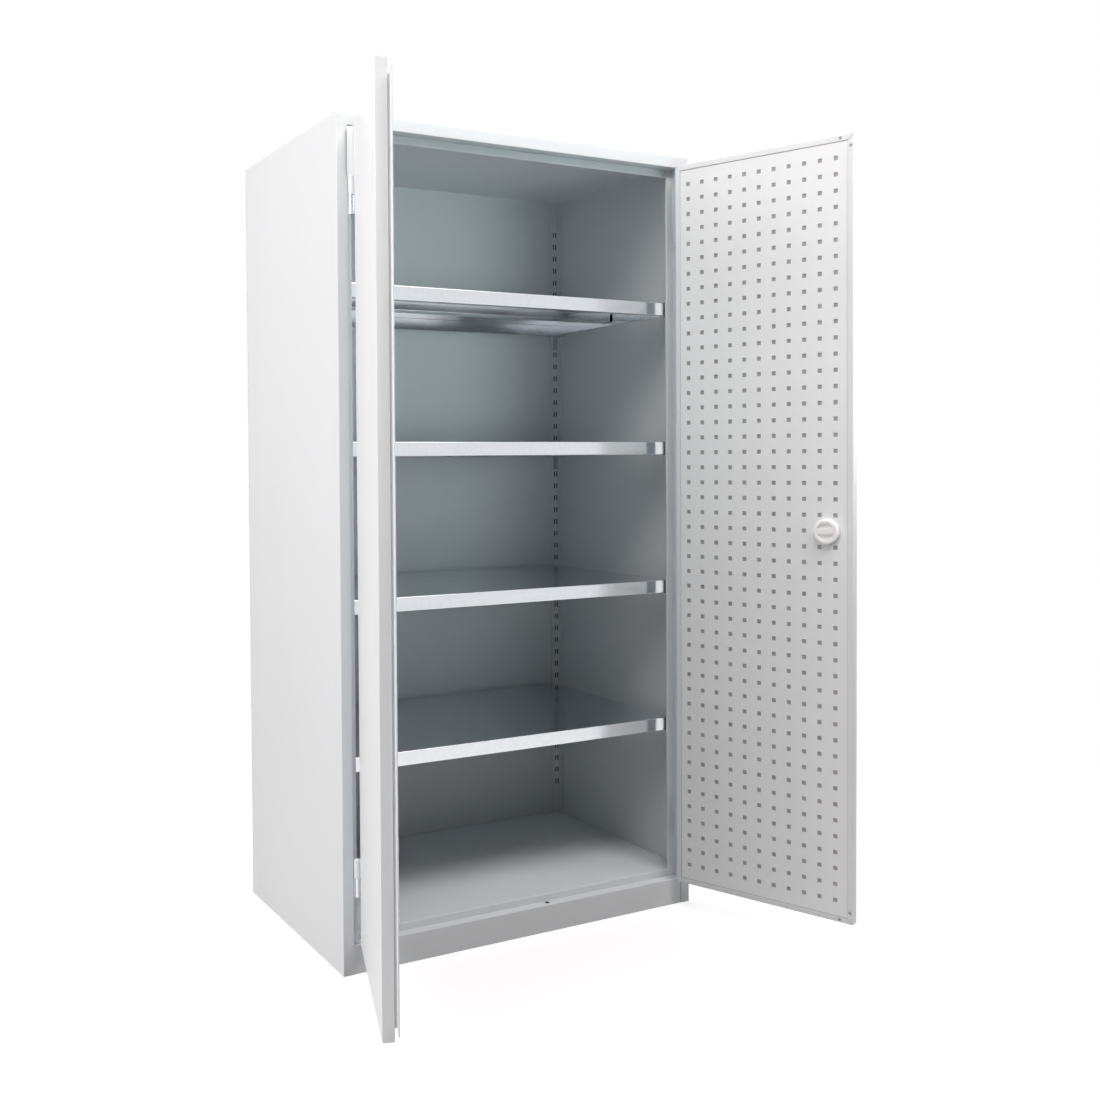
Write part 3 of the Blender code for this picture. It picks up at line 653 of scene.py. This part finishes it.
def top_panel():
    """Top sheet with its fascia, whose joints with the side sheets' flanges are filled and painted over."""
    end = WALL - SEAT
    path = [(REAR_END, HEIGHT - TOP_TURN), (REAR_END, HEIGHT), (0, HEIGHT), (0, FASCIA_LOW),
            (JAMB + RAIL_FLANGE, FASCIA_LOW)]
    bolt_hole = bar(BOLT_HOLE, BOLT_SPOT, "z", FASCIA_LOW - BEYOND, FASCIA_LOW + BEYOND)
    mesh = cut(folded(path, SHEET, "x", -end, end), bolt_hole)
    for sign in (-1, 1):
        sides = sorted((sign * OPENING, sign * end))
        mesh = join(mesh, block((sides[0], FIT, FASCIA_LOW - SEAT + FIT), (sides[1], SEAM, FASCIA_LOW + SEAM)))
    return mesh


def top_stop_rail():
    top = FASCIA_LOW - SEAT
    path = [(JAMB + RAIL_FLANGE, top), (JAMB, top), (JAMB, RAIL_LOW), (JAMB + LIP_RETURN, RAIL_LOW)]
    return folded(path, SHEET, "x", -BETWEEN_LIPS, BETWEEN_LIPS)


def plinth():
    """Plinth sheet with its left joint filled and painted over, and what is painted shade there.

    Painted shade, in near-black, are a cup under the hole for the lower bolt that darkens the hole and a strip
    that darkens the gap of the right joint.
    """
    left, right = SEAT - OPENING, OPENING - SEAT - END_JOINT
    inner = JAMB - SEAT
    path = [(inner, 0), (0, 0), (0, PLINTH), (inner, PLINTH), (inner, PLINTH - PLINTH_TURN)]
    bolt_hole = bar(LOWER_BOLT_HOLE, BOLT_SPOT, "z", PLINTH - BEYOND, PLINTH + BEYOND)
    high = PLINTH - SHEET - FIT
    low = high - HOLE_SHADE_DEPTH
    # near-black cup under the bolt hole: painted shade
    hole_shade = turned([(HOLE_SHADE_BORE, low), (HOLE_SHADE_RADIUS, low), (HOLE_SHADE_RADIUS, high), (HOLE_SHADE_BORE, high)], BOLT_SPOT,
                   "z", closed=True)
    # near-black strip in the right joint's gap: painted shade
    strip = block((right + FIT, END_SINK, END_SINK), (OPENING + END_REACH, END_SINK + SHADE_SHEET, PLINTH - FOLD))
    bend = arc((-OPENING - FOLD, FOLD), FOLD + FIT, SEAM_START, 360, CORNER_STEPS)
    section = bend + [(left + SEAT, FOLD), (left + SEAT, FIT), (bend[0][0], FIT)]
    filler = skin([[(u, v, z) for u, v in section] for z in (END_SINK, PLINTH - FOLD)])
    return join(cut(folded(path, -SHEET, "x", left, right), bolt_hole), filler), group(hole_shade, strip)


def floor_panel():
    path = [(JAMB, PLINTH - PLINTH_TURN), (JAMB, FLOOR_TOP), (REAR_END, FLOOR_TOP),
            (REAR_END, FLOOR_TOP - FLOOR_TURN)]
    notches = []
    for sign in (-1, 1):
        sides = sorted((sign * BETWEEN_LIPS, sign * HALF))
        notches.append(block((sides[0], -BEYOND, 0), (sides[1], JAMB + LIP_RETURN + SEAT, HEIGHT)))
    return cut(folded(path, -SHEET, "x", -WALL, WALL), *notches)


for place, word in SIDES:
    piece(f"{word}_side_sheet", side_panel(), grey_paint, "carcass", place,
          [f"{word}_side_panel"])
# The plinth's second mesh is its near-black painted shade.
plinth_mesh, plinth_shade = plinth()
for name, mesh, node, second in (("top_sheet", top_panel(), "top_panel", None),
                                 ("stop_rail", top_stop_rail(), "top_stop_rail", None),
                                 ("plinth_sheet", plinth_mesh, "plinth_front", (plinth_shade, painted_shade_black)),
                                 ("floor_sheet", floor_panel(), "floor_panel", None)):
    piece(name, mesh, grey_paint, "carcass", CARCASS, [node], second=second)
dress("back_panel", grey_paint)
dress("floor_stiffener", zinc)


# Uprights and clips
def upright(corner, along_wall, high):
    """Right upright with all its slots, and near-black fillings in the slots: painted shade for the dark space
    behind them.
    """
    path = [(WALL - UPRIGHT_FACE, corner), (WALL, corner), (WALL, along_wall)]
    inward = 1 if along_wall > corner else -1
    mesh = folded(path, inward * UPRIGHT_SHEET, "z", FLOOR_TOP + SEAT, high)
    depths = sorted((corner - inward * SLOT_PROUD, corner + inward * (UPRIGHT_SHEET - SLOT_SINK)))
    slots, slot_shades = [], []
    for row in range(SLOT_ROWS):
        middle = SLOT_START + SLOT_PITCH * row
        bottom, top = middle - SLOT_LENGTH / 2, middle + SLOT_LENGTH / 2
        for column in SLOT_COLUMNS:
            left, right = column - SLOT_WIDTH / 2, column + SLOT_WIDTH / 2
            slots.append(block((left, corner - BEYOND / 4, bottom), (right, corner + BEYOND / 4, top)))
            # near-black filling in the slot: painted shade
            slot_shades.append(block((left + FIT, depths[0], bottom + FIT), (right - FIT, depths[1], top - FIT)))
    return cut(mesh, group(*slots)), group(*slot_shades)


for end_word, sizes in (("rear", (REAR_END, REAR_END - UPRIGHT_SIDE, HEIGHT - TOP_TURN - SEAT)),
                        ("front", (FRONT_CORNER, FRONT_CORNER + UPRIGHT_SIDE, FASCIA_LOW - SEAT))):
    for place, word in SIDES:
        post, dark = upright(*sizes)
        # The post's second mesh is the near-black painted shade in its slots.
        piece(f"{end_word}_{word}_post", post, grey_paint, "carcass", place,
              [f"{end_word}_{word}_upright"], second=(dark, painted_shade_black))
for number in SHELF_LOWS:
    for end_word in ("front", "rear"):
        for word in ("left", "right"):
            dress(f"shelf_{number}_{end_word}_{word}_clip", zinc_plate, CLIP_EDGE)


# Shelves
shelf_outline = rounded_front(SHELF_SIDE, SHELF_FRONT, SHELF_REAR, SHELF_CORNER)


def shelf_rib(top):
    """Hat-shaped rib under a shelf."""
    inner = SHELF_RIB_WIDTH / 2
    low = top - SHELF_RIB_DEPTH
    path = [(SHELF_MIDDLE - inner - RIB_FLANGE, top), (SHELF_MIDDLE - inner, top), (SHELF_MIDDLE - inner, low),
            (SHELF_MIDDLE + inner, low), (SHELF_MIDDLE + inner, top), (SHELF_MIDDLE + inner + RIB_FLANGE, top)]
    end = SHELF_SIDE - SHEET - SHELF_RIB_GAP
    return folded(path, -SHEET, "x", -end, end)


for number, low in SHELF_LOWS.items():
    high = low + SHELF_FLANGE
    piece(f"shelf_{number}_sheet", pan(shelf_outline, "z", high, low, SHELF_LIP, FOLD), zinc,
          f"shelf_{number}", CARCASS, [f"shelf_{number}"])
    piece(f"shelf_{number}_rib", shelf_rib(high - SHEET - SEAT), zinc, f"shelf_{number}",
          CARCASS, [f"shelf_{number}_stiffener"])


# Hinges
def door_hinge(height, top):
    """Domed knuckle with a leaf on the door's edge, and a strap where the leaf goes on above it."""
    radius, bore, cover, edge = 0.0075, 0.0033, 0.0035, 0.0006
    dome, dome_end = 0.003, 84
    low = height + SEAT / 2
    high = low + KNUCKLE
    profile = [(bore, high - cover), (bore, low), (radius - edge, low), (radius, low + edge)]
    profile += [(radius * u, high - dome + dome * v) for u, v in arc((0, 0), 1, 0, dome_end, EDGE_STEPS)]
    side = HINGE_EDGE + SEAT
    leaf = block((side, -AXIS_FORWARD, low + SEAT), (side + LEAF, DOOR_THICKNESS - LEAF_INSET, top), LEAF_EDGE)
    mesh = join(turned(profile, AXIS_SPOT, "z"), leaf)
    if top > high:
        inset, front, rear, short, overlap, soft = 0.0005, 0.0098, 0.003, 0.001, KNUCKLE / 8, 0.0003
        mesh = join(mesh, block((side + inset, -AXIS_FORWARD - front, high - overlap),
                                (side + LEAF - inset, rear, top - short), soft))
    return mesh


def frame_hinge(height):
    """Knuckle with its pin, and the painted leaf on the jamb."""
    radius, pin, short, taper, edge = 0.006, 0.003, 0.004, 0.001, 0.0004
    high = height - SEAT / 2
    low = high - KNUCKLE
    tip = high + KNUCKLE - short
    profile = [(radius - taper, low), (radius, low + taper), (radius, high - edge), (radius - edge, high),
               (pin, high), (pin, tip - taper), (pin - taper, tip)]
    side = OPENING - SEAT
    leaf = block((side - LEAF, -AXIS_FORWARD, low + SEAT), (side, JAMB - LEAF_INSET, high - SEAT), LEAF_EDGE)
    return turned(profile, AXIS_SPOT, "z"), leaf


lower, upper = HINGE_HEIGHTS
for (frame_place, word), door_place in zip(SIDES, (LEFT, RIGHT)):
    for level, height, top in (("lower", lower, lower + KNUCKLE - SEAT), ("upper", upper, DOOR_HIGH - LEAF_SHORT)):
        piece(f"{word}_{level}_hinge_knuckle", door_hinge(height, top), door_paint, f"{word}_door",
              door_place, [f"{word}_{level}_door_hinge"])
        pin, leaf = frame_hinge(height)
        piece(f"{word}_{level}_hinge_pin", pin, zinc_plate, "carcass", frame_place,
              [f"{word}_{level}_frame_hinge"], second=(leaf, grey_paint))


# Doors
door_outline = rectangle(FREE_EDGE, HINGE_EDGE, DOOR_LOW, DOOR_HIGH)


def door_pan(bores):
    """Door skin with rounded folds; its flange is slit at the mitres and has small holes near the free corners.

    The grey strips and discs under the flange are painted shade: the shadow in the open joint round the panel and
    the shaded bottoms of the holes.
    """
    slit_start, slit_end, slit_depth, hole_depth, clear, lap = 0.0008, 0.030, 0.0020, 0.0015, 0.001, 0.0005
    mesh = cut(pan(door_outline, "y", 0, DOOR_THICKNESS, DOOR_FLANGE, DOOR_FOLD), *bores)
    low, high = UNDER_FLANGE
    tools, shade_marks = [], []
    for u, su in ((FREE_EDGE, 1), (HINGE_EDGE, -1)):
        for v, sv in ((DOOR_LOW, 1), (DOOR_HIGH, -1)):
            slit = block((slit_start, DOOR_THICKNESS - slit_depth, -MITRE / 2),
                         (slit_end, DOOR_THICKNESS + clear, MITRE / 2))
            slit.transform(Matrix.Translation((u, 0, v)) @ Matrix.Rotation(math.atan2(-sv, su), 4, "Y"))
            tools.append(slit)
            for du, dv in CORNER_HOLES if u == FREE_EDGE else ():
                centre = (u + su * du, v + sv * dv)
                tools.append(bar(CORNER_HOLE, centre, "y", DOOR_THICKNESS - hole_depth, DOOR_THICKNESS + clear))
                # grey disc at the bottom of a corner hole: painted shade
                shade_marks.append(bar(CORNER_HOLE + lap, centre, "y", low, high))
    (a, c), _, (b, d), _ = door_outline(DOOR_FLANGE - lap)
    line = JOINT_SHADE + lap
    top_line = TOP_JOINT_SHADE + lap
    # grey strips in the joint round the panel: painted shade, widest at the top
    shade_marks += [block((a, low, c), (a + line, high, d)), block((b - line, low, c), (b, high, d)),
              block((a + line, low, c), (b - line, high, c + line)),
              block((a + line, low, d - top_line), (b - line, high, d))]
    return cut(mesh, group(*tools)), group(*shade_marks)


def hole_shade_sheets(handle):
    """Grey sheets just behind the tool holes: painted shade for the shaded space inside the door. They lie on both
    sides of the door's stiffener, open round the spindle.
    """
    inset, stiffener_column, stiffener_half, spindle_room = 0.010, 4.5, 0.0135, 0.008
    (a, c), _, (b, d), _ = door_outline(inset)
    stiffener = TOOL_START + TOOL_PITCH * stiffener_column
    low = SHADE_SHEET_HIGH - SHADE_SHEET
    near = block((a, low, c), (stiffener - stiffener_half, SHADE_SHEET_HIGH, d))
    if handle:
        near = cut(near, bar(spindle_room, HANDLE_SPOT, "y", low - BEYOND, SHADE_SHEET_HIGH + BEYOND))
    return group(near, block((stiffener + stiffener_half, low, c), (b, SHADE_SHEET_HIGH, d)))


def tool_panel():
    """Inner panel with square tool holes."""
    (a, c), _, (b, d), _ = door_outline(PANEL_INSET)
    columns = [TOOL_START + TOOL_PITCH * i for i in range(TOOL_COLUMNS)]
    rows = [DOOR_MIDDLE + TOOL_PITCH * (j - TOOL_ROWS // 2) for j in range(TOOL_ROWS)]
    u_lines = [a, *(u + side * TOOL_HOLE / 2 for u in columns for side in (-1, 1)), b]
    v_lines = [c, *(v + side * TOOL_HOLE / 2 for v in rows for side in (-1, 1)), d]
    return cells(u_lines, v_lines, lambda i, j: i % 2 == 1 and j % 2 == 1, "y", PANEL_LOW, PANEL_HIGH)


def stop_strip():
    """Stepped strip on the left door's flange, notched at both ends."""
    sheet, foot, flange, reach, step, rise = 0.0012, 0.005, 0.010, -0.014, 0.004, 0.0072
    end_gap, notch, notch_edge = 0.003, 0.009, 0.006
    seat = DOOR_THICKNESS + SEAT
    blade, back = seat + step, seat + rise
    path = [(foot + flange, seat), (foot, seat), (foot, blade), (reach, blade), (reach, back)]
    low, high = FLOOR_TOP + end_gap, RAIL_LOW - end_gap
    mesh = folded(path, -sheet, "z", low, high, STRIP_FOLD)
    for one, two in ((low - BEYOND, low + notch), (high - notch, high + BEYOND)):
        mesh = cut(mesh, block((reach + notch_edge, seat - BEYOND, one),
                               (foot + flange + BEYOND, back + BEYOND, two)))
    return mesh


lock_bores = [bar(SPINDLE_BORE, HANDLE_SPOT, "y", -BEYOND, SHEET + BEYOND / 4)]
lock_bores += [bar(ROD_BORE, BOLT_SPOT, "z", z - BEYOND, z + BEYOND) for z in (DOOR_LOW, DOOR_HIGH)]
for word, place, bores in (("left", LEFT, []), ("right", RIGHT, lock_bores)):
    # The skin's second mesh is the grey painted shade under its flange.
    skin_mesh, shade_marks = door_pan(bores)
    piece(f"{word}_door_skin", skin_mesh, door_paint, f"{word}_door", place, [f"{word}_door_pan"],
          second=(shade_marks, painted_shade_grey))
    # grey sheets of painted shade behind the tool holes
    piece(f"{word}_door_hole_shade", hole_shade_sheets(bool(bores)), painted_shade_grey, f"{word}_door", place)
piece("left_tool_panel", tool_panel(), panel_paint, "left_door", LEFT, ["left_door_panel"])
piece("left_edge_strip", stop_strip(), door_paint, "left_door", LEFT, ["left_stop_strip"])
dress("right_door_panel", panel_paint)
for word in ("left", "right"):
    dress(f"{word}_door_stiffener", door_paint)


# Lock
def knob():
    """White ring round a recess crossed by a grip bar."""
    thick, radius, edge, rounding, rounding_steps = 0.014, 0.0305, 0.0008, 0.0045, 10
    dish = ((0.0235, 0.0), (0.0215, 0.0006), (0.0195, 0.0008))
    recess, recess_floor, recess_steps, grip = 0.020, 0.009, 40, 0.013
    low = PANEL_HIGH + SEAT
    high = low + thick
    profile = [(radius - edge, low), (radius, low + edge)]
    quarter = arc((0, 0), rounding, 0, 90, rounding_steps)
    profile += [(radius - rounding + u, high - rounding + v) for u, v in quarter]
    profile += [(across, high - drop) for across, drop in dish]
    body = turned(profile, HANDLE_SPOT, "y")
    start = math.degrees(math.asin(grip / 2 / recess))
    half_ring = arc((HANDLE_X, 0), recess, start, 180 - start, recess_steps)
    for sign in (1, -1):
        ring = [(u, DOOR_MIDDLE + sign * v) for u, v in half_ring]
        body = cut(body, skin([[(u, along, v) for u, v in ring] for along in (low + recess_floor, high + BEYOND)]))
    return body


def rosette():
    outer, bore, edge, rounding = 0.029, 0.0104, 0.0006, 0.003
    low, high = -SEAT - ROSETTE, -SEAT
    profile = [(bore, high), (bore, low + edge), (bore + edge, low)]
    rounded = [(outer - rounding + u, low + rounding - v) for u, v in arc((0, 0), rounding, 0, 90, EDGE_STEPS)]
    return turned([*profile, *reversed(rounded), (outer, high)], HANDLE_SPOT, "y", closed=True)


def outer_handle():
    """Round handle with a cross grip and a neck in the rosette, and where the grip's face lies."""
    radius, neck, disc, edge, rounding = 0.026, 0.010, 0.012, 0.0008, 0.004
    grip_reach, grip_half, grip_height, grip_root, grip_edge = 0.024, 0.008, 0.018, 0.006, 0.0028
    disc_high = -SEAT * 2 - ROSETTE
    disc_low = disc_high - disc
    grip_low = disc_low - grip_height
    profile = [(neck, -SEAT * 2), (neck, disc_high), (radius - edge, disc_high), (radius, disc_high - edge)]
    quarter = arc((0, 0), rounding, 0, 90, EDGE_STEPS)
    profile += [(radius - rounding + u, disc_low + rounding - v) for u, v in quarter]
    grip = block((HANDLE_X - grip_reach, grip_low, DOOR_MIDDLE - grip_half),
                 (HANDLE_X + grip_reach, disc_low + grip_root, DOOR_MIDDLE + grip_half), grip_edge)
    return join(turned(profile, HANDLE_SPOT, "y"), grip), grip_low


def lock_cylinder(face):
    """Round lock face with its keyway."""
    radius, thick, edge = 0.0065, 0.0015, 0.0004
    key_half, key_depth, key_reach = 0.0008, 0.0008, 0.004
    high = face - SEAT
    low = high - thick
    profile = [(radius, high), (radius, low + edge), (radius - edge, low)]
    keyway = block((HANDLE_X - key_half, low - BEYOND, DOOR_MIDDLE - key_reach),
                   (HANDLE_X + key_half, low + key_depth, DOOR_MIDDLE + key_reach))
    return cut(turned(profile, HANDLE_SPOT, "y"), keyway)


handle_mesh, grip_face = outer_handle()
piece("turn_knob", knob(), white_plastic, "handle", RIGHT, ["inner_knob"], KNOB_EDGE)
piece("rosette_ring", rosette(), dark_plastic, "right_door", RIGHT, ["handle_rosette"])
piece("turn_handle", handle_mesh, dark_plastic, "handle", RIGHT, ["outer_handle"])
piece("key_cylinder", lock_cylinder(grip_face), steel, "handle", RIGHT, ["lock_cylinder"])
for name in ("spindle_cam", "upper_lock_rod", "lower_lock_rod"):
    dress(name, steel)


# Floor, light and camera. The camera's angles are in degrees and its lens and sensor in millimetres.
FLOOR_RADIUS = 40.0
FLOOR_SEGMENTS = 96
FLOOR_DROP = 0.0005
FLOOR_GREY = 0.45
FLOOR_LIFT = 0.64
FLOOR_FADE = (1.0, 3.0)
AMBIENT_COLOUR = (0.90, 1.0, 1.05)
AMBIENT = 0.02
ROOM_EDGES = (("X", 0.15), ("Y", 0.20))
CAMERA_PLACE = (-1.584111, -2.459319, 1.170199)
CAMERA_TURN = (26.757, 1.342, 0.444)
CAMERA_LENS = 38.963
CAMERA_SENSOR = 36.0
CAMERA_SHIFT = (0.13759, -0.05614)
WARM = (1.08, 1.0, 0.989)
COOL = (0.828, 1.0, 0.995)
BARE = 180.0
GRID = 48.0
# Name, place, point aimed at, width and height, watts, colour, spread in degrees
LAMPS = (
    ("high_front_panel", (-0.3, -2.0, 4.1), (0.1, -0.1, 0.9), (3.0, 1.6), 89.0, WARM, BARE),
    ("high_right_panel", (1.0, -2.4, 4.0), (0.0, 0.0, 0.9), (1.8, 1.4), 41.0, WARM, BARE),
    ("high_left_panel", (-2.6, -0.6, 4.2), (0.3, -0.1, 1.0), (1.8, 1.8), 36.0, WARM, BARE),
    ("left_panel", (-3.2, 0.6, 2.2), (-0.5, 0.2, 1.0), (3.0, 2.4), 27.0, WARM, BARE),
    ("front_left_panel", (-3.4, -0.4, 1.8), (-0.4, 0.0, 0.9), (2.6, 1.8), 72.0, WARM, BARE),
    ("front_right_panel", (1.0, -2.4, 1.4), (-0.15, 0.5, 1.62), (0.8, 0.6), 0.97, COOL, GRID),
    ("front_panel", (0.5, -2.6, 1.1), (-0.1, 0.5, 1.70), (0.8, 0.6), 0.76, COOL, GRID),
    ("right_panel", (3.3, -0.4, 2.0), (0.6, 0.1, 1.0), (2.0, 2.0), 60.0, WARM, BARE),
    ("rear_panel", (1.2, 3.6, 2.4), (0.0, 0.6, 1.0), (2.4, 2.0), 80.0, WARM, BARE),
)


def maximum(tree, one, two):
    """The greater of two values."""
    node = tree.nodes.new("ShaderNodeMath")
    node.operation = "MAXIMUM"
    tree.links.new(one, node.inputs[0])
    tree.links.new(two, node.inputs[1])
    return node.outputs["Value"]


def smooth_step(tree, value, start, end):
    """Rises smoothly from zero to one between two values."""
    node = tree.nodes.new("ShaderNodeMapRange")
    node.interpolation_type = "SMOOTHSTEP"
    node.inputs["From Min"].default_value = start
    node.inputs["From Max"].default_value = end
    tree.links.new(value, node.inputs["Value"])
    return node.outputs["Result"]


def direct_rays(tree):
    """One for rays that show the background: from the camera, or mirrored or let through by a piece."""
    path = tree.nodes.new("ShaderNodeLightPath")
    result = path.outputs["Is Camera Ray"]
    for name in ("Is Glossy Ray", "Is Transmission Ray"):
        result = maximum(tree, result, path.outputs[name])
    return result


def floor():
    """Pale floor: near the object its colour carries the shadow, and further out it fades to white."""
    mesh = bmesh.new()
    bmesh.ops.create_circle(mesh, cap_ends=True, segments=FLOOR_SEGMENTS, radius=FLOOR_RADIUS)
    data = bpy.data.meshes.new("studio_floor")
    mesh.to_mesh(data)
    mesh.free()
    item = bpy.data.objects.new("studio_floor", data)
    item.location = (0, 0, -FLOOR_DROP)
    bpy.context.scene.collection.objects.link(item)
    material = bpy.data.materials.new("studio_floor")
    material.use_nodes = True
    tree = material.node_tree
    tree.nodes.clear()
    out = tree.nodes.new("ShaderNodeOutputMaterial")
    place = tree.nodes.new("ShaderNodeTexCoord")
    length = tree.nodes.new("ShaderNodeVectorMath")
    length.operation = "LENGTH"
    tree.links.new(place.outputs["Object"], length.inputs[0])
    far = smooth_step(tree, length.outputs["Value"], *FLOOR_FADE)
    shades = []
    for near_grey, far_grey in ((FLOOR_GREY, 0.0), (FLOOR_LIFT, 1.0)):
        ramp = tree.nodes.new("ShaderNodeValToRGB")
        ramp.color_ramp.elements[0].color = (near_grey, near_grey, near_grey, 1)
        ramp.color_ramp.elements[1].color = (far_grey, far_grey, far_grey, 1)
        tree.links.new(far, ramp.inputs["Fac"])
        shades.append(ramp.outputs["Color"])
    diffuse = tree.nodes.new("ShaderNodeBsdfDiffuse")
    tree.links.new(shades[0], diffuse.inputs["Color"])
    glow = tree.nodes.new("ShaderNodeEmission")
    tree.links.new(direct_rays(tree), glow.inputs["Strength"])
    tree.links.new(shades[1], glow.inputs["Color"])
    both = tree.nodes.new("ShaderNodeAddShader")
    tree.links.new(diffuse.outputs["BSDF"], both.inputs[0])
    tree.links.new(glow.outputs["Emission"], both.inputs[1])
    tree.links.new(both.outputs["Shader"], out.inputs["Surface"])
    data.materials.append(material)


def surroundings():
    """A white room seen directly, mirrored by the pieces but for its darker front left, and a faint even light."""
    world = bpy.data.worlds.new("studio")
    bpy.context.scene.world = world
    world.use_nodes = True
    tree = world.node_tree
    tree.nodes.clear()
    out = tree.nodes.new("ShaderNodeOutputWorld")
    ambient = tree.nodes.new("ShaderNodeBackground")
    ambient.inputs["Color"].default_value = (*AMBIENT_COLOUR, 1)
    ambient.inputs["Strength"].default_value = AMBIENT
    white = tree.nodes.new("ShaderNodeBackground")
    white.inputs["Color"].default_value = (1, 1, 1, 1)
    way = tree.nodes.new("ShaderNodeTexCoord")
    split = tree.nodes.new("ShaderNodeSeparateXYZ")
    tree.links.new(way.outputs["Generated"], split.inputs["Vector"])
    strength = tree.nodes.new("ShaderNodeLightPath").outputs["Is Camera Ray"]
    for axis, width in ROOM_EDGES:
        strength = maximum(tree, strength, smooth_step(tree, split.outputs[axis], -width, width))
    tree.links.new(strength, white.inputs["Strength"])
    mix = tree.nodes.new("ShaderNodeMixShader")
    tree.links.new(direct_rays(tree), mix.inputs["Fac"])
    tree.links.new(ambient.outputs["Background"], mix.inputs[1])
    tree.links.new(white.outputs["Background"], mix.inputs[2])
    tree.links.new(mix.outputs["Shader"], out.inputs["Surface"])


def lamp(name, place, target, size, watts, colour, spread):
    """A soft panel aimed at a point. One with a grid has a narrow beam, and no piece mirrors it."""
    data = bpy.data.lights.new(name, "AREA")
    data.shape = "RECTANGLE"
    data.size, data.size_y = size
    data.energy = watts
    data.color = colour
    data.spread = math.radians(spread)
    item = bpy.data.objects.new(name, data)
    item.location = place
    item.rotation_euler = (Vector(target) - Vector(place)).to_track_quat("-Z", "Y").to_euler()
    item.visible_camera = False
    item.visible_glossy = spread == BARE
    bpy.context.scene.collection.objects.link(item)


def camera():
    """The photograph's place, direction and framing."""
    yaw, pitch, roll = (math.radians(angle) for angle in CAMERA_TURN)
    ahead = Vector((math.sin(yaw) * math.cos(pitch), math.cos(yaw) * math.cos(pitch), -math.sin(pitch)))
    right = Vector((math.cos(yaw), -math.sin(yaw), 0))
    down = ahead.cross(right)
    across = math.cos(roll) * right + math.sin(roll) * down
    upright_way = math.sin(roll) * right - math.cos(roll) * down
    data = bpy.data.cameras.new("photo_camera")
    data.sensor_width = CAMERA_SENSOR
    data.lens = CAMERA_LENS
    data.shift_x, data.shift_y = CAMERA_SHIFT
    item = bpy.data.objects.new("photo_camera", data)
    turn = Matrix((across, upright_way, -ahead)).transposed().to_4x4()
    item.matrix_world = Matrix.Translation(CAMERA_PLACE) @ turn
    bpy.context.scene.collection.objects.link(item)
    bpy.context.scene.camera = item


floor()
surroundings()
for values in LAMPS:
    lamp(*values)
camera()
bpy.context.scene.view_settings.view_transform = "Standard"
